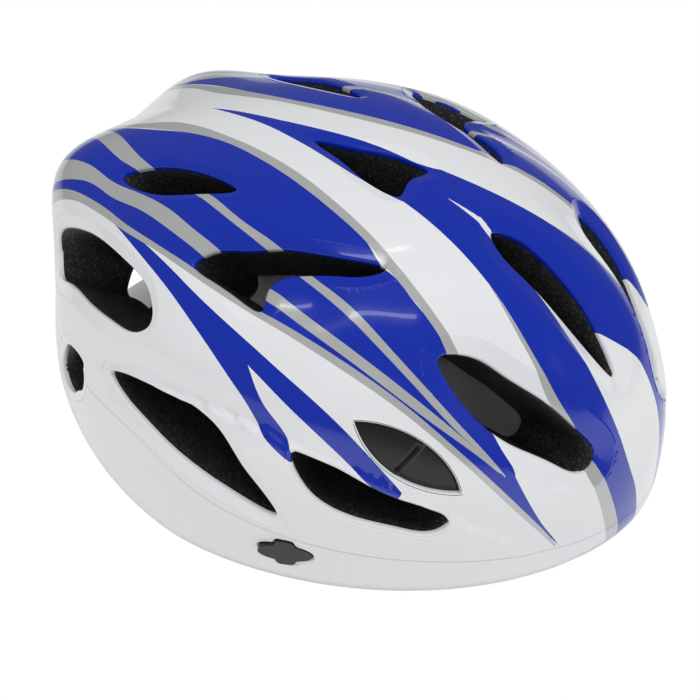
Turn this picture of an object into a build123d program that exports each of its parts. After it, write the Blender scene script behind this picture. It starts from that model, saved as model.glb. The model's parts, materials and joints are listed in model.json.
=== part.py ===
"""Cycling helmet: vented foam liner in a two-piece shell, with dial retention, pads and straps.

Millimetres. +Z up, brow towards -Y, rider's right towards -X.
The origin is the middle of the rim plane, on which the helmet rests.
"""
from build123d import *
from math import asin, atan2, cos, degrees, exp, pi, radians, sin
import os

os.makedirs("parts", exist_ok=True)

# ---- shell and liner -------------------------------------------------------------------
half_width = 105.0        # widest half breadth of the shell
front_reach = 136.0       # brow, from the origin
rear_reach = 130.0        # back of the head, from the origin
widest_level = 34.6       # height of the widest level above the rim plane
crown_rise = 95.9         # crown above the widest level
rim_curl = 50.0           # how far below the widest level the curled side would close
side_power = 2.45         # roundness of a section seen from the front
front_plan_power = 1.74   # roundness of the outline seen from above, in front
rear_plan_power = 1.85    # and behind
shell_wall = 1.0

foam_side = 27.0          # shell to cavity wall, at the widest level
foam_front = 36.0
foam_rear = 26.0
foam_crown = 24.9
cavity_half_width = half_width - foam_side
cavity_front = front_reach - foam_front
cavity_rear = rear_reach - foam_rear
cavity_rise = crown_rise - foam_crown
cavity_skirt = 400.0      # nearly upright wall below the widest level
cavity_power = 2.3
cavity_plan_power = 1.85

# reliefs of the shell: height, then middle and spread of the forward and side angles
lobe_height = 10.0        # lobes of the upper back stand proud
lobe_forward, lobe_spread, lobe_end_spread = 146.0, 14.0, 9.0
lobe_side, lobe_side_spread = 17.0, 11.0
back_hollow = 3.0         # the back below the lobes is hollowed
hollow_forward, hollow_spread = 163.0, 12.0
hollow_side, hollow_side_spread = 34.0, 20.0
brow_channel = 6.0        # channel along the middle of the front
channel_forward, channel_spread = 27.0, 16.0
channel_side_spread = 8.0
shell_columns, shell_rows = 48, 20
cavity_columns, cavity_rows = 36, 14

seam_profile = [(-160, 30), (-100, 37), (-48, 45), (-23, 52), (7, 65), (45, 66), (90, 60), (160, 55)]

# ---- vents: outlines in degrees (forward angle, side angle) seen from the head centre ---
vent_taper = 0.5          # a vent narrows to this share of its outer mouth
centre_vents = [
    [(52, 0), (49, 1.9), (44, 2.3), (36, 2.1), (29, 1.5), (23, 0)],
    [(94, 0), (87, 2.2), (80, 4.4), (73, 5.7), (69.5, 5.0), (70.5, 0)],
]
side_vents = [
    [(43, 24), (40, 19.5), (34, 17), (27, 14), (20, 11.2), (14.5, 10.3), (13.3, 12), (17, 16.5),
     (24, 21.5), (32, 24.5), (39, 25)],
    [(95.5, 38), (93, 34.5), (87, 31.8), (80, 28.3), (72, 24.7), (65, 21.3), (60.5, 19.6), (62, 22.5),
     (67, 26.5), (72, 29.8), (76, 33), (76, 36), (74, 39.3), (80, 40), (89, 39.5)],
    [(127.5, 22), (122, 19.6), (114, 18.8), (106, 19.2), (98, 21), (105, 24), (113, 25.8), (121, 25.3)],
    [(101.5, 51), (104, 46.5), (115, 41), (128, 35.5), (140, 31), (149, 30.5), (151, 35), (143, 41),
     (131, 47.5), (118, 52), (107, 53.3)],
    [(121, 61.5), (95, 61.5), (78, 60.8), (64, 61), (48, 62.8), (32, 62.6), (22, 62.6), (32, 67.5),
     (50, 71), (76, 72), (100, 69.3), (114, 65.8)],
    [(43, 53), (33, 47), (21, 40), (12.5, 34.3), (11, 36), (13, 42), (18, 48.5), (25, 53), (34, 54.5)],
    [(174, 47), (158, 49.5), (147, 53), (141, 58.5), (148, 61), (160, 59), (172, 54)],
    [(156, 6), (153, 12), (153, 20), (158, 25), (166, 22), (169, 14), (168, 7), (162, 5)],
]

# ---- nape arch: the rim rises at the back so that the dial can be reached ----------------
arch_half_width = 44.0
arch_clearance = 5.0      # above the dial knob

# ---- dial retention: cradle, dial, pinion and racks ---------------------------------------
cradle_stand_off = 30.0   # head side of the cradle base to the back wall of the cavity
cradle_front = cavity_rear - cradle_stand_off
cradle_half_width = 31.0
cradle_height = 28.0      # base plate
cradle_ear = 6.0          # the ears of the base rise above the channel
cradle_plate = 2.0
channel_depth = 4.2       # room for the racks between base and cover
channel_height = 20.0
channel_wall = 2.0
dial_level = 20.0         # height of the dial's axis
knob_radius = 15.0
knob_thickness = 10.0
knob_grips = 14
grip_radius = 1.8
tooth_module = 0.8
pinion_teeth = 12
tooth_share = 0.40        # tooth thickness as a share of the pitch
tooth_flank = 0.32        # lean of a tooth's side
tooth_root = 0.3          # a tooth is sunk this deep into its wheel or bar
addendum = 0.8            # tooth height above and below the pitch line, in modules
dedendum = 1.1
spring_share = 0.62       # detent spring's radius as a share of the knob's
nub_length = 3.0
knob_chamfer = 1.0
cradle_corner = 6.0
cover_corner = 3.0
rack_length = 40.0
rack_overlap = 14.0       # length of rack past the pinion at rest
rack_height = 4.8
shaft_radius = 3.0
running_clearance = 0.05
slide_clearance = 0.4
screw_radius = 1.0
screw_head_radius = 1.9
screw_head = 1.0
screw_offset = 12.0
boss_radius = 2.6
spring_thickness = 0.6
spring_gap = 0.2
band_thickness = 1.2
band_height = 16.0
band_gap = 6.0            # headband to cavity wall at the side
turn_run = 8.0            # the headband turns into the cradle over this run
turn_drop = 3.5
pin_azimuth = 42.0        # temple pins, degrees from the brow
pin_radius = 1.8
pin_head_radius = 4.5
pin_depth = 10.0          # into the liner
pin_inset = 2.0           # headband to cavity wall at the pin
hanger_offset = 23.0
hanger_width = 8.0
hanger_thickness = 1.6
hanger_level = 66.0
hanger_plug_radius = 2.5
hanger_plug_depth = 8.0

# ---- pads ---------------------------------------------------------------------------------
pad_thickness = 5.0
dot_thickness = 1.2       # hook-and-loop dot between liner and pad
dot_radius = 7.0
brow_pad_reach = 31.0     # degrees each side of the middle
brow_pad_height = 20.0
brow_pad_level = 10.0
cradle_pad_thickness = 4.0
pad_margin = 2.0
pad_ray_depth = 40.0      # how far the pads' cutters reach in and out of the cavity wall
pad_ray_lift = 6.0
crown_pad_outline = [(50, 12.5), (54, 9), (70, 8.6), (90, 8.6), (110, 8.6), (122, 9), (127, 12.5),
                     (122, 15.8), (110, 16.4), (90, 16.4), (70, 16.4), (54, 15.8)]
side_pad_outline = [(54, 50), (58, 45), (75, 44), (92, 45), (97, 50), (92, 55.5), (75, 56.5), (58, 55.5)]
dot_aims = [(62, 12.5), (115, 12.5), (66, 50), (85, 50), (-9, 16)]

# ---- visor sockets ------------------------------------------------------------------------
leaf_length = 41.0
leaf_width = 14.0
leaf_depth = 5.0
leaf_sink = 1.8           # the insert's flat face below the middle of its place on the shell
leaf_groove = 2.2
leaf_notch = 2.4
leaf_clearance = 0.3
leaf_aim = (29.5, 36.3)   # forward and side angle, degrees
leaf_tip_aim = (18.5, 30.8)

# ---- straps, on the surface the helmet rests on ---------------------------------------------
strap_width = 16.0
strap_thickness = 1.5
strap_lift = 0.4          # straps and buckles lie just clear of the rim plane
anchor_aim = (2.3, 63.0)
anchor_length = 19.0
anchor_width = 8.0
anchor_tab_length = 7.0
anchor_tab_width = 12.0
anchor_proud = 0.8
anchor_recess = 2.4
anchor_blade_length = 14.0
anchor_blade_width = 3.0
blade_fillet = 1.0
plate_fillet = 2.0
strap_rise = 5.0          # the rear strap starts this far above its anchor's middle
rear_anchor_azimuth = 128.0
rear_anchor_level = 26.0
rear_anchor_depth = 12.0
rear_anchor_width = 20.0
rear_anchor_height = 12.0
rear_anchor_plate = 1.5
rear_anchor_stem = 5.0
anchor_eye = 1.5          # the blade stands this far into the cavity
fold_run = 22.0           # strap on the ground up to its fold
divider_middle = (cavity_half_width - 28.0, 4.0)
divider_reach = 14.0      # middle of the divider to each strap mouth
divider_thickness = 5.0
divider_wall = 2.0
pocket_depth = 6.0
pocket_clearance = 0.3
lever_length = 14.0
lever_width = 12.0
lever_thickness = 2.0
lever_pin_radius = 1.0
lug_thickness = 1.2
lug_root = 1.0            # the lugs are sunk this deep into the divider
lever_wall = 0.9
hinge_rise = 2.2          # hinge axis above the divider plate
buckle_half_length = 18.0
buckle_width = 24.0
buckle_thickness = 8.0
buckle_wall = 1.6
prong_length = 13.0
prong_width = 3.0
tongue_width = 4.0
prong_gap = 0.5
prong_root = 1.0          # the prongs are sunk this deep into the male half
window_length = 6.0       # side windows of the female half
window_end = 7.0          # from the prongs' tips to a window's far edge
buckle_corner = 3.0
buckle_split = -2.0       # the mouth of the female half
edge_fillet = 1.0
keeper_width = 5.0
keeper_wall = 1.0
keeper_gap = 4.0
keeper_corner = 1.0
fold_radius = 6.0


def bump(value, middle, spread):
    """A smooth hill of height 1 at the middle."""
    return exp(-((value - middle) / spread) ** 2)


def relief(direction):
    """How far the shell stands proud of the plain dome in a direction from the head centre."""
    x, y, z = direction
    forward = degrees(atan2(z, -y))
    side = degrees(asin(min(1.0, abs(x))))
    spread = lobe_spread if forward < lobe_forward else lobe_end_spread
    lobes = lobe_height * bump(forward, lobe_forward, spread) * bump(side, lobe_side, lobe_side_spread)
    hollow = back_hollow * bump(forward, hollow_forward, hollow_spread)
    hollow *= bump(side, hollow_side, hollow_side_spread)
    channel = brow_channel * bump(forward, channel_forward, channel_spread)
    channel *= bump(side, 0, channel_side_spread)
    return lobes - hollow - channel


def dome_radius(direction, size, inset):
    """Distance from the head centre to a superellipsoid whose half axes are reduced by inset."""
    half, front, rear, rise, curl, power, front_plan, rear_plan = size
    x, y, z = direction
    reach, plan = (front, front_plan) if y < 0 else (rear, rear_plan)
    height = rise - inset if z > 0 else curl
    level = ((abs(x) / (half - inset)) ** plan + (abs(y) / (reach - inset)) ** plan) ** (1 / plan)
    return (level ** power + abs(z / height) ** power) ** (-1 / power)


def rim_angle(azimuth, size, inset):
    """Angle below the horizontal at which the dome meets the rim plane."""
    half, front, rear, rise, curl, power, front_plan, rear_plan = size
    x, y = sin(azimuth), -cos(azimuth)
    reach, plan = (front, front_plan) if y < 0 else (rear, rear_plan)
    level = (1 - (widest_level / curl) ** power) ** (1 / power)
    across = level * ((abs(x) / (half - inset)) ** plan + (abs(y) / (reach - inset)) ** plan) ** (-1 / plan)
    return -atan2(widest_level, across)


def dome(size, inset=0.0, proud=0.0, columns=shell_columns, rows=shell_rows):
    """A dome as one smooth surface through a grid of its points, open at the rim plane."""
    grid = []
    for column in range(columns):
        azimuth = pi + 2 * pi * column / columns
        lowest = rim_angle(azimuth, size, inset)
        points = []
        for row in range(rows + 1):
            climb = lowest + (pi / 2 - lowest) * row / rows
            direction = (cos(climb) * sin(azimuth), -cos(climb) * cos(azimuth), sin(climb))
            reach = dome_radius(direction, size, inset)
            height = widest_level + direction[2] * reach
            reach += proud * relief(direction) * min(1.0, height / widest_level) ** 2
            x, y, z = (part * reach for part in direction)
            points.append(Vector(x, y, widest_level + z))
        points[0] = Vector(points[0].X, points[0].Y, 0)
        points[-1] = Vector(0, 0, points[-1].Z)
        grid.append(points)
    crown = grid[0][-1]
    for points in grid:
        points[-1] = crown
    grid.append(grid[0])
    return Face.make_surface_from_array_of_points(grid, tol=0.01, min_deg=3, max_deg=3)


def bowl(outer, inner):
    """Closed solid between two domes and the flat ring that joins their rims."""
    outer_rim, inner_rim = (Wire([skin.edges().sort_by(Axis.Z)[0]]) for skin in (outer, inner))
    return Solid(Shell([outer, inner, Face(outer_rim, [inner_rim])]))


outer_size = (half_width, front_reach, rear_reach, crown_rise, rim_curl, side_power,
              front_plan_power, rear_plan_power)
cavity_size = (cavity_half_width, cavity_front, cavity_rear, cavity_rise, cavity_skirt,
               cavity_power, cavity_plan_power, cavity_plan_power)
head_centre = Vector(0, 0, widest_level)
sides = {"right": -1, "left": 1}


def aim(forward, side):
    """Unit vector from the head centre: forward angle over the crown, side angle towards +X."""
    u, v = radians(forward), radians(side)
    return Vector(sin(v), -cos(v) * cos(u), cos(v) * sin(u))


def facing_plane(ray, size, depth=0.0):
    """Plane on a dome facing out along a ray, its X axis running towards the brow."""
    reach = dome_radius(tuple(ray), size, 0)
    forwards = Vector(0, -1, 0) - ray * ray.dot(Vector(0, -1, 0))
    return Plane(head_centre + ray * (reach - depth), x_dir=forwards, z_dir=ray)


def plug(outline, size, inwards, outwards, taper=None):
    """Solid round a line from the head centre; it narrows to the share taper, or to that centre."""
    ray = sum((aim(*point) for point in outline), Vector(0, 0, 0)).normalized()
    plane = facing_plane(ray, size)
    reach = (plane.origin - head_centre).length
    if taper is None:
        taper = 1 - inwards / reach
    spots = []
    for point in outline:
        sight = aim(*point)
        spots.append(plane.to_local_coords(head_centre + sight * (reach / sight.dot(ray))))
    sections = []
    for lift, grow in ((-inwards, taper), (outwards, 1 + (1 - taper) * outwards / inwards)):
        with BuildSketch(plane.offset(lift)) as mouth:
            with BuildLine():
                Spline(*[(spot.X * grow, spot.Y * grow) for spot in spots], periodic=True)
            make_face()
        sections.append(mouth.sketch)
    with BuildPart() as body:
        loft(sections=sections, ruled=True)
    return body.part


def mirrored(outline):
    return [(forward, -side) for forward, side in outline]


def whole_outline(half):
    """Outline of a vent on the middle line, from its right half."""
    return half + mirrored(half[-2:0:-1])


# ---- shell ---------------------------------------------------------------------------------
vent_depth = 50.0         # the taper is reached this far inside the shell
vent_lift = 20.0
vent_outlines = [whole_outline(half) for half in centre_vents]
vent_outlines += side_vents + [mirrored(outline) for outline in side_vents]
vent_plugs = [plug(outline, outer_size, vent_depth, vent_lift, vent_taper) for outline in vent_outlines]

arch_height = dial_level + knob_radius + arch_clearance
with BuildPart() as nape_arch:
    with BuildSketch(Plane.XZ.offset(-cradle_front)):
        with BuildLine():
            Spline((-arch_half_width, 0), (0, arch_height), (arch_half_width, 0),
                   tangents=((0.25, 1), (0.25, -1)))
            Polyline((arch_half_width, 0), (arch_half_width, -strap_width), (-arch_half_width, -strap_width),
                     (-arch_half_width, 0))
        make_face()
    extrude(amount=-rear_reach)


def leaf_sketch(grow):
    """Pointed oval as long and wide as the visor socket, grown all round."""
    half_length, half_breadth = leaf_length / 2 + grow, leaf_width / 2 + grow
    with BuildSketch() as leaf:
        with BuildLine():
            ThreePointArc((-half_length, 0), (0, half_breadth), (half_length, 0))
            ThreePointArc((half_length, 0), (0, -half_breadth), (-half_length, 0))
        make_face()
    return leaf.sketch


def leaf_plane(side):
    """Plane of a visor socket on the shell, its X axis along the leaf."""
    flat = facing_plane(aim(leaf_aim[0], side * leaf_aim[1]), outer_size)
    tip = facing_plane(aim(leaf_tip_aim[0], side * leaf_tip_aim[1]), outer_size).origin
    along = tip - flat.origin
    return Plane(flat.origin, x_dir=along - flat.z_dir * along.dot(flat.z_dir), z_dir=flat.z_dir)


def anchor_plane(side):
    return facing_plane(aim(anchor_aim[0], side * anchor_aim[1]), outer_size)


def anchor_sketch(grow):
    """Oval cap crossed by a short tab."""
    with BuildSketch() as cap:
        Ellipse(anchor_length / 2 + grow, anchor_width / 2 + grow)
        RectangleRounded(anchor_tab_length + 2 * grow, anchor_tab_width + 2 * grow, plate_fillet)
    return cap.sketch


pockets = []
for side in sides.values():
    with BuildPart() as leaf_pocket:
        with BuildSketch(leaf_plane(side)):
            add(leaf_sketch(leaf_clearance))
        extrude(amount=vent_lift)
        extrude(leaf_pocket.faces().sort_by(Axis(leaf_plane(side).origin, leaf_plane(side).z_dir))[0],
                amount=leaf_depth + leaf_clearance)
    with BuildPart() as anchor_pocket:
        with BuildSketch(anchor_plane(side).offset(-anchor_recess)):
            add(anchor_sketch(leaf_clearance))
        extrude(amount=vent_lift)
        with BuildSketch(anchor_plane(side).offset(-anchor_recess)):
            RectangleRounded(anchor_blade_length + 2 * leaf_clearance,
                             anchor_blade_width + 2 * leaf_clearance, blade_fillet)
        extrude(amount=-vent_depth)
    pockets += [leaf_pocket.part, anchor_pocket.part]

with BuildPart() as below_seam:
    with BuildSketch(Plane.YZ):
        with BuildLine():
            Spline(*seam_profile)
            last, first = seam_profile[-1], seam_profile[0]
            Polyline(last, (last[0], -strap_width), (first[0], -strap_width), first)
        make_face()
    extrude(amount=rear_reach, both=True)

shell_skin = dome(outer_size, 0, 1)
foam_skin = dome(outer_size, shell_wall, 1)
cavity_skin = dome(cavity_size, 0, 0, cavity_columns, cavity_rows)

with BuildPart() as whole_shell:
    add(bowl(shell_skin, foam_skin))
    add(vent_plugs + pockets + [nape_arch.part], mode=Mode.SUBTRACT)

with BuildPart() as upper_shell:
    add(whole_shell.part)
    add(below_seam.part, mode=Mode.SUBTRACT)
upper_shell.part.label = "upper_shell"
export_step(upper_shell.part, "parts/upper_shell.step")

with BuildPart() as lower_shell:
    add(whole_shell.part)
    add(below_seam.part, mode=Mode.INTERSECT)
lower_shell.part.label = "lower_shell"
export_step(lower_shell.part, "parts/lower_shell.step")


# ---- liner ---------------------------------------------------------------------------------
def wall_point(azimuth, inset=0.0, side=1):
    """Point in plan on the upright wall of the cavity, azimuth in degrees from the brow."""
    x, y = sin(radians(azimuth)), -cos(radians(azimuth))
    reach = (cavity_front if y < 0 else cavity_rear) - inset
    across = (abs(x) / (cavity_half_width - inset)) ** cavity_plan_power
    span = (across + (abs(y) / reach) ** cavity_plan_power) ** (-1 / cavity_plan_power)
    return (side * x * span, y * span)


def wall_plane(azimuth, level, side, inset=0.0):
    """Upright plane on the cavity wall at an azimuth, facing out of the wall, its Y axis up."""
    x, y = wall_point(azimuth)
    reach = cavity_front if y < 0 else cavity_rear
    lean = cavity_plan_power - 1
    steep_x = (abs(x) / cavity_half_width) ** lean / cavity_half_width
    steep_y = (abs(y) / reach) ** lean / reach
    outwards = Vector(side * steep_x, -steep_y if y < 0 else steep_y, 0).normalized()
    origin = Vector(side * x, y, level) - outwards * inset
    return Plane(origin, x_dir=Vector(0, 0, 1).cross(outwards), z_dir=outwards)


holes = []
for side in sides.values():
    with BuildPart() as pin_hole:
        with BuildSketch(wall_plane(pin_azimuth, dial_level, side, band_gap)):
            Circle(pin_radius)
        extrude(amount=band_gap + pin_depth)
    with BuildPart() as hanger_hole:
        with BuildSketch(Plane.XZ.offset(-cradle_front)):
            with Locations((side * hanger_offset, hanger_level)):
                Circle(hanger_plug_radius)
        extrude(amount=-(cavity_rear - cradle_front))
    with BuildPart() as rear_anchor_pocket:
        with BuildSketch(wall_plane(rear_anchor_azimuth, rear_anchor_level, side, rear_anchor_plate)):
            RectangleRounded(rear_anchor_width, rear_anchor_height, plate_fillet)
        extrude(amount=2 * rear_anchor_plate)
        with BuildSketch(wall_plane(rear_anchor_azimuth, rear_anchor_level, side)):
            RectangleRounded(rear_anchor_height, rear_anchor_stem, blade_fillet)
        extrude(amount=rear_anchor_depth)
    holes += [pin_hole.part, hanger_hole.part, rear_anchor_pocket.part]

with BuildPart() as eps_liner:
    add(bowl(foam_skin, cavity_skin))
    add(vent_plugs + pockets + holes + [nape_arch.part], mode=Mode.SUBTRACT)
eps_liner.part.label = "eps_liner"
export_step(eps_liner.part, "parts/eps_liner.step")

# ---- visor sockets and strap anchors ---------------------------------------------------------
for name, side in sides.items():
    with BuildPart() as visor_insert:
        with BuildSketch(leaf_plane(side).offset(-leaf_depth)):
            add(leaf_sketch(0))
            for edge in (1, -1):
                with Locations((0, edge * leaf_width / 2)):
                    Rectangle(leaf_groove, 2 * leaf_notch, mode=Mode.SUBTRACT)
        extrude(amount=leaf_depth - leaf_sink)
        with BuildSketch(leaf_plane(side).offset(-leaf_sink)):
            Rectangle(leaf_groove, leaf_width)
        extrude(amount=-leaf_groove / 2, mode=Mode.SUBTRACT)
    visor_insert.part.label = f"visor_insert_{name}"
    export_step(visor_insert.part, f"parts/visor_insert_{name}.step")

    plane = anchor_plane(side)
    outwards = plane.z_dir
    wall_reach = dome_radius(tuple(outwards), cavity_size, 0)
    blade_length = (plane.origin - head_centre).length - wall_reach - anchor_recess + anchor_eye
    with BuildPart() as front_anchor:
        with BuildSketch(plane.offset(-anchor_recess)):
            add(anchor_sketch(0))
        extrude(amount=anchor_recess + anchor_proud)
        with BuildSketch(plane.offset(-anchor_recess)):
            RectangleRounded(anchor_blade_length, anchor_blade_width, blade_fillet)
        extrude(amount=-blade_length)
    front_anchor.part.label = f"front_anchor_{name}"
    export_step(front_anchor.part, f"parts/front_anchor_{name}.step")

    with BuildPart() as rear_anchor:
        with BuildSketch(wall_plane(rear_anchor_azimuth, rear_anchor_level, side, rear_anchor_plate)):
            RectangleRounded(rear_anchor_width, rear_anchor_height, plate_fillet)
        extrude(amount=2 * rear_anchor_plate)
        with BuildSketch(wall_plane(rear_anchor_azimuth, rear_anchor_level, side, -rear_anchor_plate)):
            RectangleRounded(rear_anchor_height, rear_anchor_stem, blade_fillet)
        extrude(amount=rear_anchor_depth - rear_anchor_plate)
    rear_anchor.part.label = f"rear_anchor_{name}"
    export_step(rear_anchor.part, f"parts/rear_anchor_{name}.step")

# ---- pads --------------------------------------------------------------------------------------
def pad_layer(near, far):
    """Layer of the cavity between two depths from its wall."""
    return bowl(*(dome(cavity_size, inset, 0, cavity_columns, cavity_rows) for inset in (near, far)))


hook_layer = pad_layer(0, dot_thickness)
cushion_layer = pad_layer(dot_thickness, dot_thickness + pad_thickness)
pad_outlines = {"crown_pad": crown_pad_outline, "side_pad": side_pad_outline}
for name, side in sides.items():
    for pad, outline in pad_outlines.items():
        with BuildPart() as cushion:
            add(cushion_layer)
            add(plug([(forward, side * across) for forward, across in outline], cavity_size,
                     pad_ray_depth, pad_ray_lift), mode=Mode.INTERSECT)
        cushion.part.label = f"{pad}_{name}"
        export_step(cushion.part, f"parts/{pad}_{name}.step")


def brow_band(near, far, reach):
    """Plan of a strip along the cavity wall between two insets, to both sides of the brow."""
    stops = [reach * step / 4 for step in range(-4, 5)]
    outer = [wall_point(stop, near) for stop in stops]
    inner = [wall_point(stop, far) for stop in stops]
    with BuildSketch() as strip:
        with BuildLine():
            Spline(*outer)
            Line(outer[-1], inner[-1])
            Spline(*inner)
            Line(inner[0], outer[0])
        make_face()
    return strip.sketch


with BuildPart() as brow_pad:
    with BuildSketch(Plane.XY.offset(brow_pad_level)):
        add(brow_band(dot_thickness + slide_clearance, dot_thickness + pad_thickness, brow_pad_reach))
    extrude(amount=brow_pad_height)
brow_pad.part.label = "brow_pad"
export_step(brow_pad.part, "parts/brow_pad.step")

with BuildPart() as dot_posts:
    for side in sides.values():
        for forward, across in dot_aims:
            with BuildSketch(facing_plane(aim(forward, side * across), cavity_size, pad_thickness)):
                Circle(dot_radius)
            extrude(amount=2 * pad_thickness)
with BuildPart() as hook_dots:
    add(hook_layer)
    add(dot_posts.part, mode=Mode.INTERSECT)
hook_dots.part.label = "hook_dots"
export_step(hook_dots.part, "parts/hook_dots.step")

# ---- cradle, dial and racks ----------------------------------------------------------------------
def back_plane(y):
    """Upright plane facing the brow: its X axis is X, its Y axis is Z."""
    return Plane.XZ.offset(-y)


channel_front = cradle_front + cradle_plate
channel_back = channel_front + channel_depth
cover_back = channel_back + cradle_plate
rack_thickness = channel_depth - 2 * slide_clearance
pitch_radius = tooth_module * pinion_teeth / 2
pitch = pi * tooth_module
tooth_rise = addendum * tooth_module
tooth_drop = dedendum * tooth_module
screw_spots = [(-screw_offset, dial_level), (screw_offset, dial_level)]
screw_length = cradle_plate - screw_head + channel_depth

with BuildPart() as cradle_base:
    with BuildSketch(back_plane(cradle_front)):
        with Locations((0, dial_level)):
            RectangleRounded(2 * cradle_half_width, cradle_height, cradle_corner)
        for side in sides.values():
            with Locations((side * hanger_offset, dial_level + cradle_height / 2)):
                RectangleRounded(hanger_width + 2, 2 * cradle_ear, 2)
    extrude(amount=-cradle_plate)
    with BuildSketch(back_plane(cradle_front)):
        with Locations(*screw_spots):
            Circle(screw_radius + running_clearance)
        with Locations((0, dial_level)):
            Circle(shaft_radius / 2 + running_clearance)
    extrude(amount=-cradle_plate, mode=Mode.SUBTRACT)
    with BuildSketch(back_plane(cradle_front)):
        with Locations(*screw_spots):
            Circle(screw_head_radius + running_clearance)
    extrude(amount=-screw_head, mode=Mode.SUBTRACT)
cradle_base.part.label = "cradle_base"
export_step(cradle_base.part, "parts/cradle_base.step")

with BuildPart() as cradle_cover:
    with BuildSketch(back_plane(channel_front)):
        with Locations((0, dial_level)):
            Rectangle(2 * cradle_half_width, channel_height + 2 * channel_wall)
            Rectangle(2 * cradle_half_width, channel_height, mode=Mode.SUBTRACT)
        with Locations(*screw_spots):
            Circle(boss_radius)
            Circle(screw_radius, mode=Mode.SUBTRACT)
    extrude(amount=-channel_depth)
    with BuildSketch(back_plane(channel_back)):
        with Locations((0, dial_level)):
            RectangleRounded(2 * cradle_half_width, channel_height + 2 * channel_wall, cover_corner)
            Circle(shaft_radius + running_clearance, mode=Mode.SUBTRACT)
    extrude(amount=-cradle_plate)
cradle_cover.part.label = "cradle_cover"
export_step(cradle_cover.part, "parts/cradle_cover.step")

with BuildPart() as cradle_screws:
    for x, z in screw_spots:
        with BuildSketch(back_plane(cradle_front)):
            with Locations((x, z)):
                Circle(screw_head_radius)
        extrude(amount=-screw_head)
        with BuildSketch(back_plane(cradle_front + screw_head)):
            with Locations((x, z)):
                Circle(screw_radius)
        extrude(amount=-screw_length)
cradle_screws.part.label = "cradle_screws"
export_step(cradle_screws.part, "parts/cradle_screws.step")

spring_back = cover_back + spring_thickness
knob_front = spring_back + spring_gap + slide_clearance
with BuildPart() as detent_spring:
    with BuildSketch(back_plane(cover_back)):
        with Locations((0, dial_level)):
            Circle(knob_radius * spring_share)
            Circle(shaft_radius + slide_clearance, mode=Mode.SUBTRACT)
    extrude(amount=-spring_thickness)
    with BuildSketch(back_plane(spring_back)):
        with Locations((-knob_radius / 2, dial_level), (knob_radius / 2, dial_level)):
            Rectangle(spring_thickness, nub_length)
    extrude(amount=-slide_clearance)
detent_spring.part.label = "detent_spring"
export_step(detent_spring.part, "parts/detent_spring.step")


def tooth_outline(height_up, height_down, flank):
    """Half width of a tooth at its tip and root for a straight flank."""
    middle = tooth_share * pitch / 2
    return middle - flank * height_up, middle + flank * height_down


tip_half, root_half = tooth_outline(tooth_rise, tooth_drop, tooth_flank)
rack_front = channel_front + slide_clearance
with BuildPart() as pinion:
    with BuildSketch(back_plane(rack_front)) as wheel:
        with Locations((0, dial_level)):
            Circle(pitch_radius - tooth_drop)
            with PolarLocations(0, pinion_teeth):
                root, tip = pitch_radius - tooth_drop - tooth_root, pitch_radius + tooth_rise
                Polygon((root, -root_half), (tip, -tip_half), (tip, tip_half), (root, root_half), align=None)
    extrude(amount=-rack_thickness)
    with BuildSketch(back_plane(cradle_front + cradle_plate / 2)):
        with Locations((0, dial_level)):
            Circle(shaft_radius / 2)
    extrude(amount=-(knob_front - cradle_front))
    with BuildSketch(back_plane(rack_front + rack_thickness)):
        with Locations((0, dial_level)):
            Circle(shaft_radius)
    extrude(amount=-(knob_front + knob_thickness / 2 - rack_front - rack_thickness))
pinion.part.label = "pinion"
export_step(pinion.part, "parts/pinion.step")

with BuildPart() as dial_knob:
    with BuildSketch(back_plane(knob_front)):
        with Locations((0, dial_level)):
            Circle(knob_radius)
            with PolarLocations(knob_radius + grip_radius / 2, knob_grips):
                Circle(grip_radius, mode=Mode.SUBTRACT)
    extrude(amount=-knob_thickness)
    chamfer(dial_knob.faces().sort_by(Axis.Y)[-1].outer_wire().edges(), knob_chamfer)
    with BuildSketch(back_plane(knob_front)):
        with Locations((0, dial_level)):
            Circle(shaft_radius)
    extrude(amount=-knob_thickness / 2, mode=Mode.SUBTRACT)
dial_knob.part.label = "dial_knob"
export_step(dial_knob.part, "parts/dial_knob.step")

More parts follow.
